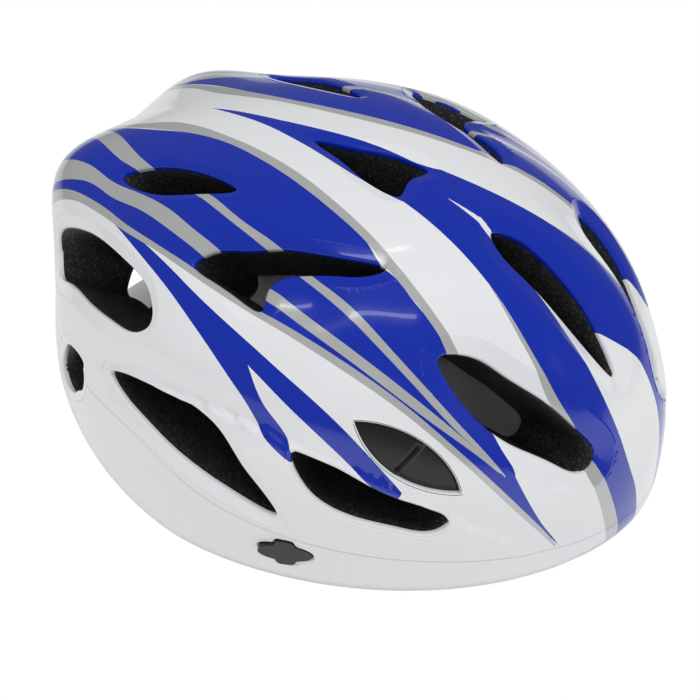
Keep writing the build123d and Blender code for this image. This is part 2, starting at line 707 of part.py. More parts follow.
teeth_count = int(rack_length / pitch)
for name, side in sides.items():
    # the left rack runs over the pinion and the right rack under it
    pitch_line = dial_level + side * pitch_radius
    with BuildPart() as rack:
        with BuildSketch(back_plane(rack_front)):
            middle = side * (rack_length / 2 - rack_overlap)
            with Locations((middle, pitch_line + side * (tooth_drop + rack_height / 2 - tooth_drop / 2))):
                Rectangle(rack_length, rack_height - tooth_drop)
            for step in range(teeth_count):
                spot = side * (pitch * (step + 0.5) - pitch * round(rack_overlap / pitch))
                with Locations((spot, pitch_line)):
                    tip, root = -side * tooth_rise, side * (tooth_drop + tooth_root)
                    Polygon((-tip_half, tip), (tip_half, tip), (root_half, root), (-root_half, root),
                            align=None)
        extrude(amount=-rack_thickness)
    rack.part.label = f"rack_{name}"
    export_step(rack.part, f"parts/rack_{name}.step")

    band_start = side * (rack_length - rack_overlap + slide_clearance)
    band_middle = rack_front + rack_thickness / 2
    band_stops = (62, 80, 100, 115, 128, 140)
    band_insets = (band_gap + 1, band_gap, band_gap + 1, band_gap + 3, band_gap + 4, band_gap + 4)
    pin_spot = wall_plane(pin_azimuth, 0, side)
    ahead = Vector(0, 0, 1).cross(pin_spot.z_dir) * side
    with BuildPart() as headband:
        with BuildSketch(Plane.XY.offset(dial_level - band_height / 2)):
            with BuildLine():
                outer, inner = ([pin_spot.origin - pin_spot.z_dir * (pin_inset + depth) + ahead * step
                                 for step in (-pin_head_radius - 3, pin_head_radius + 1)]
                                + [Vector(*wall_point(stop, inset + depth, side))
                                   for stop, inset in zip(band_stops, band_insets)]
                                for depth in (0, band_thickness))
                mouth = side * (cradle_half_width + slide_clearance)
                turn = Vector(mouth + side * turn_run, band_middle - turn_drop, 0)
                turn_out = Vector(side * turn_drop, turn_run, 0).normalized() * band_thickness / 2
                outer_end = (mouth, band_middle + band_thickness / 2)
                inner_end = (mouth, band_middle - band_thickness / 2)
                Spline(*outer, turn + turn_out, outer_end)
                Polyline(outer_end, (band_start, outer_end[1]), (band_start, inner_end[1]), inner_end)
                Spline(*inner, turn - turn_out, inner_end)
                Line(inner[0], outer[0])
            make_face()
        extrude(amount=band_height)
        with BuildSketch(wall_plane(pin_azimuth, dial_level, side, 3 * band_gap)):
            Circle(pin_radius + slide_clearance)
        extrude(amount=3 * band_gap, mode=Mode.SUBTRACT)
    headband.part.label = f"headband_{name}"
    export_step(headband.part, f"parts/headband_{name}.step")

with BuildPart() as temple_pins:
    for side in sides.values():
        head_inset = pin_inset + band_thickness + slide_clearance
        with BuildSketch(wall_plane(pin_azimuth, dial_level, side, head_inset)):
            Circle(pin_radius)
        extrude(amount=head_inset + pin_depth)
        with BuildSketch(wall_plane(pin_azimuth, dial_level, side, head_inset)):
            Circle(pin_head_radius)
        extrude(amount=-band_thickness)
temple_pins.part.label = "temple_pins"
export_step(temple_pins.part, "parts/temple_pins.step")

with BuildPart() as cradle_pad:
    with BuildSketch(back_plane(cradle_front)):
        with Locations((0, dial_level)):
            RectangleRounded(2 * (cradle_half_width - pad_margin), cradle_height - 2 * pad_margin,
                             cradle_corner - pad_margin / 2)
    extrude(amount=cradle_pad_thickness)
cradle_pad.part.label = "cradle_pad"
export_step(cradle_pad.part, "parts/cradle_pad.step")

hanger_foot = dial_level + channel_height / 2 + channel_wall
for name, side in sides.items():
    narrowed = 1 - (hanger_offset / cavity_half_width) ** cavity_plan_power
    side_wall = cavity_rear * narrowed ** (1 / cavity_plan_power)
    ray = (Vector(side * hanger_offset, side_wall, hanger_level) - head_centre).normalized()
    wall_y = ray.Y * dome_radius(tuple(ray), cavity_size, 0)
    with BuildPart() as hanger:
        with BuildSketch(Plane.YZ.offset(side * hanger_offset)):
            with BuildLine():
                FilletPolyline((channel_front + hanger_thickness / 2, hanger_foot + hanger_thickness),
                               (channel_front + hanger_thickness / 2, hanger_foot + 2 * cradle_ear),
                               (wall_y - 2 * hanger_thickness, hanger_level + 4), radius=10)
                offset(amount=hanger_thickness / 2)
            make_face()
        extrude(amount=hanger_width / 2, both=True)
        with BuildSketch(back_plane(wall_y - 3 * hanger_thickness)):
            with Locations((side * hanger_offset, hanger_level)):
                Circle(hanger_plug_radius)
        extrude(amount=-(3 * hanger_thickness + hanger_plug_depth))
    hanger.part.label = f"cradle_hanger_{name}"
    export_step(hanger.part, f"parts/cradle_hanger_{name}.step")

# ---- straps, dividers and buckle --------------------------------------------------------------------
strap_level = strap_lift + strap_thickness          # straps lie folded, two layers deep
pocket_level = strap_level - pocket_clearance
pocket_height = strap_thickness + 2 * pocket_clearance


def flat_between(start, end, width):
    """Plan of a straight strip from start to end."""
    run = Vector(*end) - Vector(*start)
    middle = (Vector(*start) + Vector(*end)) * 0.5
    with BuildSketch(Plane((middle.X, middle.Y, 0), x_dir=run, z_dir=(0, 0, 1))) as strip:
        Rectangle(run.length, width)
    return strip.sketch


def strap_from_wall(azimuth, side, inset, top, divider, label):
    """Strap down the cavity wall from its anchor, folded over on the ground towards the divider."""
    wall = wall_plane(azimuth, 0, side, inset)
    inwards = -wall.z_dir
    drop_plane = Plane(wall.origin, x_dir=inwards, z_dir=inwards.cross(Vector(0, 0, 1)))
    ground = strap_lift + strap_thickness / 2
    start = slide_clearance + strap_thickness / 2
    fold = wall.origin + inwards * (start + fold_run - strap_width / 2)
    to_fold = Vector(fold.X - divider[0], fold.Y - divider[1])
    entry = Vector(*divider) + to_fold.normalized() * (divider_reach - pocket_depth)
    with BuildPart() as strap:
        with BuildSketch(drop_plane):
            with BuildLine():
                FilletPolyline((start, top), (start, ground), (start + fold_run, ground), radius=fold_radius)
                offset(amount=strap_thickness / 2)
            make_face()
        extrude(amount=strap_width / 2, both=True)
        with BuildSketch(Plane.XY.offset(strap_level)):
            add(flat_between((fold.X, fold.Y), (entry.X, entry.Y), strap_width))
        extrude(amount=strap_thickness)
    strap.part.label = label
    export_step(strap.part, f"parts/{label}.step")
    return to_fold.normalized()


for name, side in sides.items():
    divider = (side * divider_middle[0], divider_middle[1])
    front_azimuth = degrees(atan2(abs(anchor_plane(side).z_dir.X), -anchor_plane(side).z_dir.Y))
    front_way = strap_from_wall(front_azimuth, side, anchor_eye + slide_clearance, widest_level + 4,
                                divider, f"front_strap_{name}")
    rear_way = strap_from_wall(rear_anchor_azimuth, side, rear_anchor_plate + slide_clearance,
                               rear_anchor_level + strap_rise, divider, f"rear_strap_{name}")
    chin_way = Vector(-side, 0)
    ways = [front_way, rear_way, chin_way]
    with BuildPart() as strap_divider:
        with BuildSketch(Plane.XY.offset(strap_lift)) as plate:
            for way in ways:
                mouth = Vector(*divider) + way * (divider_reach - divider_wall)
                with Locations((mouth.X, mouth.Y)):
                    Rectangle(2 * divider_wall, strap_width + 2 * divider_wall,
                              rotation=degrees(atan2(way.Y, way.X)))
            make_hull()
        extrude(amount=divider_thickness)
        with BuildSketch(Plane.XY.offset(pocket_level)):
            for way in ways:
                start = Vector(*divider) + way * (divider_reach - pocket_depth - pocket_clearance)
                end = Vector(*divider) + way * (divider_reach + pocket_depth)
                add(flat_between((start.X, start.Y), (end.X, end.Y), strap_width + 2 * pocket_clearance))
        extrude(amount=pocket_height, mode=Mode.SUBTRACT)
        top = strap_lift + divider_thickness
        hinge = (divider[0] + side * lever_length / 2, top + hinge_rise)
        for edge in (-1, 1):
            lug_y = divider[1] + edge * (lever_width / 2 + lug_thickness / 2 + slide_clearance)
            with BuildSketch(Plane.XZ.offset(-(lug_y - lug_thickness / 2))):
                with Locations(hinge):
                    Circle(lever_pin_radius + lug_thickness)
                with Locations((hinge[0], top + (hinge_rise - lug_root) / 2)):
                    Rectangle(2 * (lever_pin_radius + lug_thickness), hinge_rise + lug_root)
                with Locations(hinge):
                    Circle(lever_pin_radius + running_clearance, mode=Mode.SUBTRACT)
            extrude(amount=-lug_thickness)
    strap_divider.part.label = f"strap_divider_{name}"
    export_step(strap_divider.part, f"parts/strap_divider_{name}.step")

    with BuildPart() as lock_lever:
        with BuildSketch(Plane.XZ.offset(-(divider[1] - lever_width / 2))):
            with Locations(hinge):
                Circle(lever_pin_radius + lever_wall)
            with Locations((hinge[0] - side * lever_length / 2, hinge[1])):
                Rectangle(lever_length, lever_thickness)
        extrude(amount=-lever_width)
        pin_half = lever_width / 2 + slide_clearance + lug_thickness
        with BuildSketch(Plane.XZ.offset(-(divider[1] - pin_half))):
            with Locations(hinge):
                Circle(lever_pin_radius)
        extrude(amount=-2 * pin_half)
    lock_lever.part.label = f"lock_lever_{name}"
    export_step(lock_lever.part, f"parts/lock_lever_{name}.step")

    with BuildPart() as chin_strap:
        with BuildSketch(Plane.XY.offset(strap_level)):
            outer_end = side * (divider_middle[0] - divider_reach + pocket_depth)
            inner_end = side * (buckle_half_length - pocket_depth)
            add(flat_between((outer_end, divider_middle[1]), (inner_end, divider_middle[1]), strap_width))
        extrude(amount=strap_thickness)
    chin_strap.part.label = f"chin_strap_{name}"
    export_step(chin_strap.part, f"parts/chin_strap_{name}.step")

buckle_y = divider_middle[1]
with BuildPart() as buckle_female:
    with BuildSketch(Plane.XY.offset(strap_lift)):
        with Locations(((buckle_half_length + buckle_split) / 2, buckle_y)):
            RectangleRounded(buckle_half_length - buckle_split, buckle_width, buckle_corner)
    extrude(amount=buckle_thickness)
    fillet(buckle_female.edges().filter_by(Plane.XY), edge_fillet)
    with BuildSketch(Plane.YZ.offset(buckle_split)):
        with Locations((buckle_y, strap_lift + buckle_thickness / 2)):
            Rectangle(buckle_width - 2 * buckle_wall, buckle_thickness - 2 * buckle_wall)
    extrude(amount=prong_length + prong_root, mode=Mode.SUBTRACT)
    with BuildSketch(Plane.XZ.offset(-buckle_y)):
        window_middle = buckle_split + prong_length - window_end + window_length / 2
        with Locations((window_middle, strap_lift + buckle_thickness / 2)):
            Rectangle(window_length, buckle_thickness - 2 * buckle_wall)
    extrude(amount=buckle_width, both=True, mode=Mode.SUBTRACT)
    with BuildSketch(Plane.YZ.offset(buckle_half_length)):
        with Locations((buckle_y, pocket_level + pocket_height / 2)):
            Rectangle(strap_width + 2 * pocket_clearance, pocket_height)
    extrude(amount=-pocket_depth - pocket_clearance, mode=Mode.SUBTRACT)
buckle_female.part.label = "buckle_female"
export_step(buckle_female.part, "parts/buckle_female.step")

with BuildPart() as buckle_male:
    with BuildSketch(Plane.XY.offset(strap_lift)):
        with Locations(((-buckle_half_length + buckle_split - prong_gap) / 2, buckle_y)):
            RectangleRounded(buckle_half_length + buckle_split - prong_gap, buckle_width, buckle_corner)
    extrude(amount=buckle_thickness)
    fillet(buckle_male.edges().filter_by(Plane.XY), edge_fillet)
    with BuildSketch(Plane.XY.offset(strap_lift + buckle_wall + prong_gap)):
        prong_middle = buckle_split + prong_length / 2 - prong_root
        prong_offset = buckle_width / 2 - buckle_wall - prong_gap - prong_width / 2
        with Locations((prong_middle, buckle_y)):
            Rectangle(prong_length, tongue_width)
        with Locations((prong_middle, buckle_y - prong_offset), (prong_middle, buckle_y + prong_offset)):
            Rectangle(prong_length, prong_width)
    extrude(amount=buckle_thickness - 2 * buckle_wall - 2 * prong_gap)
    with BuildSketch(Plane.YZ.offset(-buckle_half_length)):
        with Locations((buckle_y, pocket_level + pocket_height / 2)):
            Rectangle(strap_width + 2 * pocket_clearance, pocket_height)
    extrude(amount=pocket_depth + pocket_clearance, mode=Mode.SUBTRACT)
buckle_male.part.label = "buckle_male"
export_step(buckle_male.part, "parts/buckle_male.step")

with BuildPart() as strap_keeper:
    with BuildSketch(Plane.YZ.offset(buckle_half_length + keeper_gap)):
        with Locations((buckle_y, pocket_level + pocket_height / 2)):
            mouth_width = strap_width + 2 * pocket_clearance
            RectangleRounded(mouth_width + 2 * keeper_wall, pocket_height + 2 * keeper_wall, keeper_corner)
            Rectangle(mouth_width, pocket_height, mode=Mode.SUBTRACT)
    extrude(amount=keeper_width)
strap_keeper.part.label = "strap_keeper"
export_step(strap_keeper.part, "parts/strap_keeper.step")
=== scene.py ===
import json
import bpy
import numpy as np
from mathutils import Matrix, Vector


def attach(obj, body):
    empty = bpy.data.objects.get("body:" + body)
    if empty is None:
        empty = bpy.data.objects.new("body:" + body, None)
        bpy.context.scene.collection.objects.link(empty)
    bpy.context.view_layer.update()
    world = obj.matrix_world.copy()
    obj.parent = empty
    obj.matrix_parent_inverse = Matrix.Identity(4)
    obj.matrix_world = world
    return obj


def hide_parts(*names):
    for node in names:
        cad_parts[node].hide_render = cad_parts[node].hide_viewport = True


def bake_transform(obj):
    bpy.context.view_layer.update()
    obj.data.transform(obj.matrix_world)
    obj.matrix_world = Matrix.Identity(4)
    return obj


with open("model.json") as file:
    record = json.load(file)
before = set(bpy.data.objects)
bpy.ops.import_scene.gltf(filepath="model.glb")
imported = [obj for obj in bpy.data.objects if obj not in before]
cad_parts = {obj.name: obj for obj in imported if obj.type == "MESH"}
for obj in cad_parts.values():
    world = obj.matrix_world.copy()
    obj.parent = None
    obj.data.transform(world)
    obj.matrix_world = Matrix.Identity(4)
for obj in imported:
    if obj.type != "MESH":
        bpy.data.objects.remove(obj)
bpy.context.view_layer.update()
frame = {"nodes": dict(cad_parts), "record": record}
print("stage: frame loaded")

# Lengths in millimetres, angles in degrees: forward angle and side angle seen from the head centre.
shellForm = dict(halfWidth=105.0, frontReach=136.0, rearReach=130.0, rise=95.9, curl=50.0,
                 power=2.45, frontPlan=1.74, rearPlan=1.85)
cavityForm = dict(halfWidth=78.0, frontReach=100.0, rearReach=104.0, rise=71.0, curl=400.0,
                  power=2.3, frontPlan=1.85, rearPlan=1.85)
headCentre = np.array([0.0, 0.0, 34.6])
ventCone = dict(taper=0.5, depth=50.0)
# edge of an opening: a sunk band of a width and drop, then a roll of a width and drop, then a wall;
# cut is where the wide skin stops
ventLip = dict(width=3.2, drop=0.7, roll=0.9, rollDrop=0.8, depth=1.0, cut=3.9)
sunkLip = dict(width=4.6, drop=1.2, roll=0.9, rollDrop=0.8, depth=1.0, cut=5.3)
broadLip = dict(width=7.0, drop=2.3, roll=1.0, rollDrop=0.8, depth=1.0, cut=7.7)
slimLip = dict(width=1.7, drop=0.3, roll=0.8, rollDrop=0.8, depth=1.0, cut=2.2)
pocketLip = dict(width=0.7, drop=0.1, roll=0.5, rollDrop=0.4, depth=2.4, cut=1.2)
arch = dict(halfWidth=44.0, top=40.0, front=60.0)
# folds and scoops of the shell: depth in millimetres, place and reach in degrees
creaseLook = dict(depth=2.2, width=1.2, fade=9.0,
                  line=[(160, 52), (134, 60), (122, 60.5), (76, 60.3), (57, 56.5), (42, 51.5), (31, 45.5),
                        (22, 39.5), (12, 33), (6, 27), (-2, 20), (-14, 12)])
scoops = [dict(depth=3.6, forward=(32, 14), side=(18, 6)), dict(depth=2.6, forward=(78, 15), side=(32, 5))]

centreVents = [
    [(53, 0), (50, 2.3), (44, 3.0), (36, 2.7), (29, 1.9), (22.5, 0)],
    [(94, 0), (87, 2.2), (80, 4.4), (73, 5.7), (69.5, 5.0), (70.5, 0)],
]
sideVents = [
    [(43, 24), (40, 19.5), (34, 17), (27, 14), (20, 11.2), (14.5, 10.3), (13.3, 12), (17, 16.5),
     (24, 21.5), (32, 24.5), (39, 25)],
    [(95.5, 38), (93, 34.5), (87, 31.8), (80, 28.3), (72, 24.7), (65, 21.3), (60.5, 19.6), (62, 22.5),
     (67, 26.5), (72, 29.8), (76, 33), (76, 36), (74, 39.3), (80, 40), (89, 39.5)],
    [(127.5, 22), (122, 19.6), (114, 18.8), (106, 19.2), (98, 21), (105, 24), (113, 25.8), (121, 25.3)],
    [(101.5, 51), (104, 46.5), (115, 41), (128, 35.5), (140, 31), (149, 30.5), (151, 35), (143, 41),
     (131, 47.5), (118, 52), (107, 53.3)],
    [(121, 61.5), (95, 61.5), (78, 60.8), (64, 61), (48, 62.8), (32, 62.6), (22, 62.6), (32, 67.5),
     (50, 71), (76, 72), (100, 69.3), (114, 65.8)],
    [(43, 53), (33, 47), (21, 40), (12.5, 34.3), (11, 36), (13, 42), (18, 48.5), (25, 53), (34, 54.5)],
    [(174, 47), (158, 49.5), (147, 53), (141, 58.5), (148, 61), (160, 59), (172, 54)],
    [(156, 6), (153, 12), (153, 20), (158, 25), (166, 22), (169, 14), (168, 7), (162, 5)],
]
# height of the line between the two shells, over y
seamLine = [(-160, 30), (-100, 37), (-48, 45), (-23, 52), (7, 65), (45, 66), (90, 60), (160, 55)]


# direction = (sin side, -cos side * cos forward, cos side * sin forward)
def aim(angles):
    forward, side = np.radians(np.asarray(angles, float)).T
    return np.stack([np.sin(side), -np.cos(side) * np.cos(forward), np.cos(side) * np.sin(forward)], -1)


# bump = exp(-((value - middle) / spread) squared)
def bump(value, middle, spread):
    return np.exp(-((value - middle) / spread) ** 2)


# forward angle = arc tangent of (z / -y), side angle = arc sine of |x|
def angles(direction):
    return (np.degrees(np.arctan2(direction[..., 2], -direction[..., 1])),
            np.degrees(np.arcsin(np.clip(np.abs(direction[..., 0]), 0, 1))))


# radius of a superellipsoid: (plan level ** power + (z / height) ** power) ** (-1 / power)
def domeRadius(direction, form, inset=0.0):
    x, y, z = np.moveaxis(direction, -1, 0)
    soft = 0.03
    across, along = np.sqrt(x * x + soft ** 2 * (1 - x * x)), np.abs(y)
    front = y < 0
    reach = np.where(front, form["frontReach"], form["rearReach"]) - inset
    plan = np.where(front, form["frontPlan"], form["rearPlan"])
    height = np.where(z > 0, form["rise"] - inset, form["curl"])
    level = ((across / (form["halfWidth"] - inset)) ** plan + (along / reach) ** plan) ** (1 / plan)
    return (level ** form["power"] + np.abs(z / height) ** form["power"]) ** (-1 / form["power"])


# relief = lobes of the upper back - hollow under them - channel in the middle of the front
def relief(direction):
    forward, side = angles(direction)
    lobes = 10.0 * bump(forward, 146, np.where(forward < 146, 14, 9)) * bump(side, 17, 11)
    hollow = 3.0 * bump(forward, 163, 12) * bump(side, 34, 20)
    channel = 6.0 * bump(forward, 27, 16) * bump(side, 0, 8)
    result = lobes - hollow - channel
    for scoop in scoops:
        result = result - scoop["depth"] * bump(forward, *scoop["forward"]) * bump(side, *scoop["side"])
    spots = chart(direction)
    spots[:, 0] = np.abs(spots[:, 0])
    below = -sideDistance(spots, creaseLine)
    fold = smoothStep(below / creaseLook["width"]) * smoothStep(1 - below / creaseLook["fade"])
    return result - creaseLook["depth"] * fold * bump(forward, 75, 62)


# radius of the skin = dome + relief, the relief fading out towards the rim as level squared
def shellRadius(direction, inset=0.0):
    radius = domeRadius(direction, shellForm, inset)
    level = 1 + radius * direction[..., 2] / headCentre[2]
    return radius + relief(direction) * np.clip(level, 0, 1) ** 2


# periodic cubic spline through points, chord length as its parameter
def closedCurve(points, count=220):
    points = np.asarray(points, float)
    size = len(points)
    step = np.linalg.norm(np.roll(points, -1, 0) - points, axis=1)
    before = np.roll(step, 1)
    rise = (np.roll(points, -1, 0) - points) / step[:, None]
    system = np.zeros((size, size))
    index = np.arange(size)
    system[index, index] = 2 * (step + before)
    system[index, (index + 1) % size] += before
    system[index, (index - 1) % size] += step
    right = 3 * (before[:, None] * rise + step[:, None] * np.roll(rise, 1, 0))
    slope = np.linalg.solve(system, right)
    total = np.concatenate([[0], np.cumsum(step)])
    where = np.linspace(0, total[-1], count, endpoint=False)
    part = np.clip(np.searchsorted(total, where, side="right") - 1, 0, size - 1)
    span = step[part]
    u = ((where - total[part]) / span)[:, None]
    after = (part + 1) % size
    return ((2 * u ** 3 - 3 * u ** 2 + 1) * points[part]
            + (u ** 3 - 2 * u ** 2 + u) * span[:, None] * slope[part]
            + (3 * u ** 2 - 2 * u ** 3) * points[after] + (u ** 3 - u ** 2) * span[:, None] * slope[after])


# smooth open curve through points
def openCurve(points, count=160):
    points = np.asarray(points, float)
    step = np.linalg.norm(np.diff(points, axis=0), axis=1)
    total = np.concatenate([[0], np.cumsum(step)])
    slope = np.gradient(points, total, axis=0)
    where = np.linspace(0, total[-1], count)
    part = np.clip(np.searchsorted(total, where, side="right") - 1, 0, len(points) - 2)
    span = step[part][:, None]
    u = ((where - total[part]) / step[part])[:, None]
    return ((2 * u ** 3 - 3 * u ** 2 + 1) * points[part] + (u ** 3 - 2 * u ** 2 + u) * span * slope[part]
            + (3 * u ** 2 - 2 * u ** 3) * points[part + 1] + (u ** 3 - u ** 2) * span * slope[part + 1])


# distance from spots to a polyline, with the side of the nearest segment
def edgeDistance(spots, line, closed):
    start = line
    end = np.roll(line, -1, 0) if closed else line[1:]
    start = start if closed else line[:-1]
    run = end - start
    length = np.maximum((run ** 2).sum(1), 1e-12)
    best = np.full(len(spots), 1e9)
    turn = np.zeros(len(spots))
    for lowest in range(0, len(spots), 4000):
        some = spots[lowest:lowest + 4000]
        along = some @ run.T - (start * run).sum(1)
        square = (some ** 2).sum(1)[:, None] - 2 * some @ start.T + (start ** 2).sum(1)
        share = np.clip(along / length, 0, 1)
        index = (square - 2 * share * along + share ** 2 * length).argmin(1)
        near = some - start[index]
        gap = near - share[np.arange(len(index)), index][:, None] * run[index]
        best[lowest:lowest + 4000] = np.linalg.norm(gap, axis=1)
        turn[lowest:lowest + 4000] = run[index, 0] * near[:, 1] - run[index, 1] * near[:, 0]
    return best, turn


# signed distance to a closed outline, positive outside; inside by the even-odd rule
def outlineDistance(spots, line):
    best, turn = edgeDistance(spots, line, True)
    inside = np.zeros(len(spots), bool)
    x, y = spots.T
    for (ax, ay), (bx, by) in zip(line, np.roll(line, -1, 0)):
        crosses = (ay > y) != (by > y)
        rise = by - ay if abs(by - ay) > 1e-12 else 1e-12
        inside ^= crosses & (x < (bx - ax) * (y - ay) / rise + ax)
    return np.where(inside, -best, best)


# signed distance to an open edge, positive on its left
def sideDistance(spots, line):
    best, turn = edgeDistance(spots, line, False)
    return np.sign(turn) * best


# smooth step: value squared * (3 - 2 * value), between 0 and 1
def smoothStep(value):
    value = np.clip(value, 0, 1)
    return value * value * (3 - 2 * value)


# flat chart of a direction: degrees from the crown
def chart(direction):
    polar = np.degrees(np.arccos(np.clip(direction[:, 2], -1, 1)))
    flat = np.linalg.norm(direction[:, :2], axis=1)
    scale = polar / np.maximum(flat, 1e-9)
    return np.stack([direction[:, 0] * scale, direction[:, 1] * scale], -1)


# the fold along the side, in the chart
creaseLine = openCurve(chart(aim(creaseLook["line"])), 50)


# the dome alone in one direction, without relief
def shellRadiusPlain(direction):
    return domeRadius(direction[None], shellForm)[0]


# an outline in its own plane, run anticlockwise in equal steps, and the cone that carries it inwards
def makeOpening(origin, ray, across, line, taper, lip):
    step = np.linalg.norm(np.roll(line, -1, 0) - line, axis=1)
    total = np.concatenate([[0], np.cumsum(step)])
    count = 2 * int(total[-1] / 1.9)
    where = np.linspace(0, total[-1], count, endpoint=False)
    closed = np.concatenate([line, line[:1]])
    line = np.stack([np.interp(where, total, closed[:, 0]), np.interp(where, total, closed[:, 1])], -1)
    after = np.roll(line, -1, 0)
    if (line[:, 0] * after[:, 1] - line[:, 1] * after[:, 0]).sum() < 0:
        line = line[::-1]
    run = np.roll(line, -1, 0) - np.roll(line, 1, 0)
    run /= np.linalg.norm(run, axis=1)[:, None]
    outward = np.stack([run[:, 1], -run[:, 0]], -1)
    room = np.zeros(count)
    for offset in np.arange(0.3, lip["width"] + 0.5, 0.3):
        free = outlineDistance(line + outward * offset, line) > 0.96 * offset - 0.02
        room = np.where(free & (room > offset - 0.31), offset, room)
    room = np.min([np.roll(room, shift) for shift in range(-4, 5)], 0)
    room = np.mean([np.roll(room, shift) for shift in range(-4, 5)], 0)
    return dict(origin=origin, ray=ray, across=across, up=np.cross(ray, across), line=line, run=run,
                outward=outward, room=room, taper=taper, step=total[-1] / count,
                apex=origin - ray * ventCone["depth"] / (1 - taper), reach=np.abs(line).max() * 1.5, **lip)


# a vent's outline, carried from its angles into the plane across its middle sight line
def makeVent(outline, lip):
    sights = aim(outline)
    ray = sights.sum(0)
    ray /= np.linalg.norm(ray)
    reach = shellRadiusPlain(ray)
    origin = headCentre + ray * reach
    across = np.cross([0, 0, 1], ray)
    across /= np.linalg.norm(across)
    spots = headCentre + sights * (reach / (sights @ ray))[:, None] - origin
    line = closedCurve(np.stack([spots @ across, spots @ np.cross(ray, across)], -1), 900)
    return makeOpening(origin, ray, across, line, ventCone["taper"], lip)


# half an outline on the middle line, joined with its mirror image
def wholeOutline(half):
    return half + [(forward, -side) for forward, side in reversed(half) if side]


# direction in which the arch's distance grows
def archSlope(points):
    step = 0.05
    across = archDistance(points + [step, 0, 0]) - archDistance(points - [step, 0, 0])
    up = archDistance(points + [0, 0, step]) - archDistance(points - [0, 0, step])
    slope = np.stack([across, np.zeros(len(points)), up], -1)
    return slope / np.maximum(np.linalg.norm(slope, axis=1), 1e-6)[:, None]


# shallow sockets: a leaf for each visor insert and a capped oval for each front strap anchor
pockets = dict(leafAim=(29.5, 36.3), leafTip=(18.5, 30.8), leafHalf=(20.8, 7.3), anchorAim=(2.3, 63.0),
               anchorHalf=(9.8, 4.3), tabHalf=(3.8, 6.3))


# pointed oval: two arcs of radius (long squared + wide squared) / (2 * wide)
def leafOutline():
    long, wide = pockets["leafHalf"]
    radius = (long ** 2 + wide ** 2) / (2 * wide)
    x = long * np.sin(np.linspace(-np.pi / 2, np.pi / 2, 200, endpoint=False))
    y = np.sqrt(radius ** 2 - x ** 2) - radius + wide
    return np.concatenate([np.stack([x, y], -1), np.stack([-x, -y], -1)])


# oval joined with an upright tab: the farther of the two along each ray
def anchorOutline():
    turn = np.linspace(0, 2 * np.pi, 400, endpoint=False)
    way = np.stack([np.cos(turn), np.sin(turn)], -1)
    long, wide = pockets["anchorHalf"]
    oval = 1 / np.hypot(way[:, 0] / long, way[:, 1] / wide)
    across, along = pockets["tabHalf"]
    tab = (np.abs(way[:, 0] / across) ** 6 + np.abs(way[:, 1] / along) ** 6) ** (-1 / 6)
    return way * np.maximum(oval, tab)[:, None]


# a socket square to the skin, its long axis pointing at the tip or to the front
def makePocket(place, sign, outline, tip=None):
    ray = aim([(place[0], sign * place[1])])[0]
    origin = headCentre + ray * shellRadiusPlain(ray)
    along = np.array([0, -1.0, 0])
    if tip is not None:
        tipRay = aim([(tip[0], sign * tip[1])])[0]
        along = headCentre + tipRay * shellRadiusPlain(tipRay) - origin
    along = along - ray * (along @ ray)
    along /= np.linalg.norm(along)
    return makeOpening(origin, ray, along, outline, 0.999, pocketLip)


vents = [makeVent(wholeOutline(half), lip) for half, lip in zip(centreVents, (broadLip, sunkLip))]
for index, outline in enumerate(sideVents):
    lip = {0: broadLip, 1: sunkLip, 3: sunkLip, 4: sunkLip, 5: slimLip}.get(index, ventLip)
    for sign in (1, -1):
        vents.append(makeVent([(forward, sign * side) for forward, side in outline], lip))
sockets = []
for sign in (1, -1):
    sockets.append(makePocket(pockets["leafAim"], sign, leafOutline(), pockets["leafTip"]))
    sockets.append(makePocket(pockets["anchorAim"], sign, anchorOutline()))


# a point taken back up the opening's cone into its plane: local / (1 + (1 - taper) * height / depth)
def planeSpots(points, opening):
    local = points - opening["origin"]
    height = local @ opening["ray"]
    factor = np.maximum(1 + (1 - opening["taper"]) * height / ventCone["depth"], 0.05)
    return np.stack([local @ opening["across"], local @ opening["up"]], -1) / factor[:, None], height


# distance from points to an opening's edge, measured in its plane, positive outside
def ventDistance(points, opening):
    spots, height = planeSpots(points, opening)
    far = np.linalg.norm(spots, axis=1) - opening["reach"]
    result = np.maximum(far, 1.0) + 14
    close = (far < 16) & (height > -80)
    if close.any():
        result[close] = outlineDistance(spots[close], opening["line"])
    return result


# how far the band and the roll drop at an offset
def lipDrop(opening, offset):
    band = opening["drop"] * np.clip(1 - offset / opening["width"], 0, 1)
    turn = np.clip(1 - offset / opening["roll"], 0, 1)
    return band + opening["rollDrop"] * (1 - np.sqrt(1 - turn ** 2))


# points where the opening's cone, widened by an offset, meets the skin
def coneRing(opening, offset, inset):
    squeeze = np.minimum(opening["room"], opening["width"]) / opening["width"]
    offset = np.where(offset > opening["width"], np.minimum(offset, opening["room"]), offset * squeeze)
    spots = opening["line"] + opening["outward"] * offset[:, None]
    points = opening["origin"] + spots[:, :1] * opening["across"] + spots[:, 1:] * opening["up"]
    run = points - opening["apex"]
    run /= np.linalg.norm(run, axis=1)[:, None]
    for _ in range(8):
        away = points - headCentre
        radius = np.linalg.norm(away, axis=1)
        direction = away / radius[:, None]
        miss = radius - shellRadius(direction, inset)
        points = points - run * (miss / np.maximum((run * direction).sum(1), 0.3))[:, None]
    return points, run


# height of the arch = top * (1 - (across / half width) ** 2.2) ** 0.55
archAcross = np.linspace(-1, 1, 160)
archOutline = np.concatenate([np.stack([archAcross * arch["halfWidth"],
                                        arch["top"] * (1 - np.abs(archAcross) ** 2.2) ** 0.55], -1),
                              [[arch["halfWidth"], -60], [-arch["halfWidth"], -60]]])


# distance to the arch in the plane of x and z, for the rear part only
def archDistance(points):
    distance = outlineDistance(points[:, [0, 2]], archOutline)
    return np.where(points[:, 1] > arch["front"], distance, 60.0)


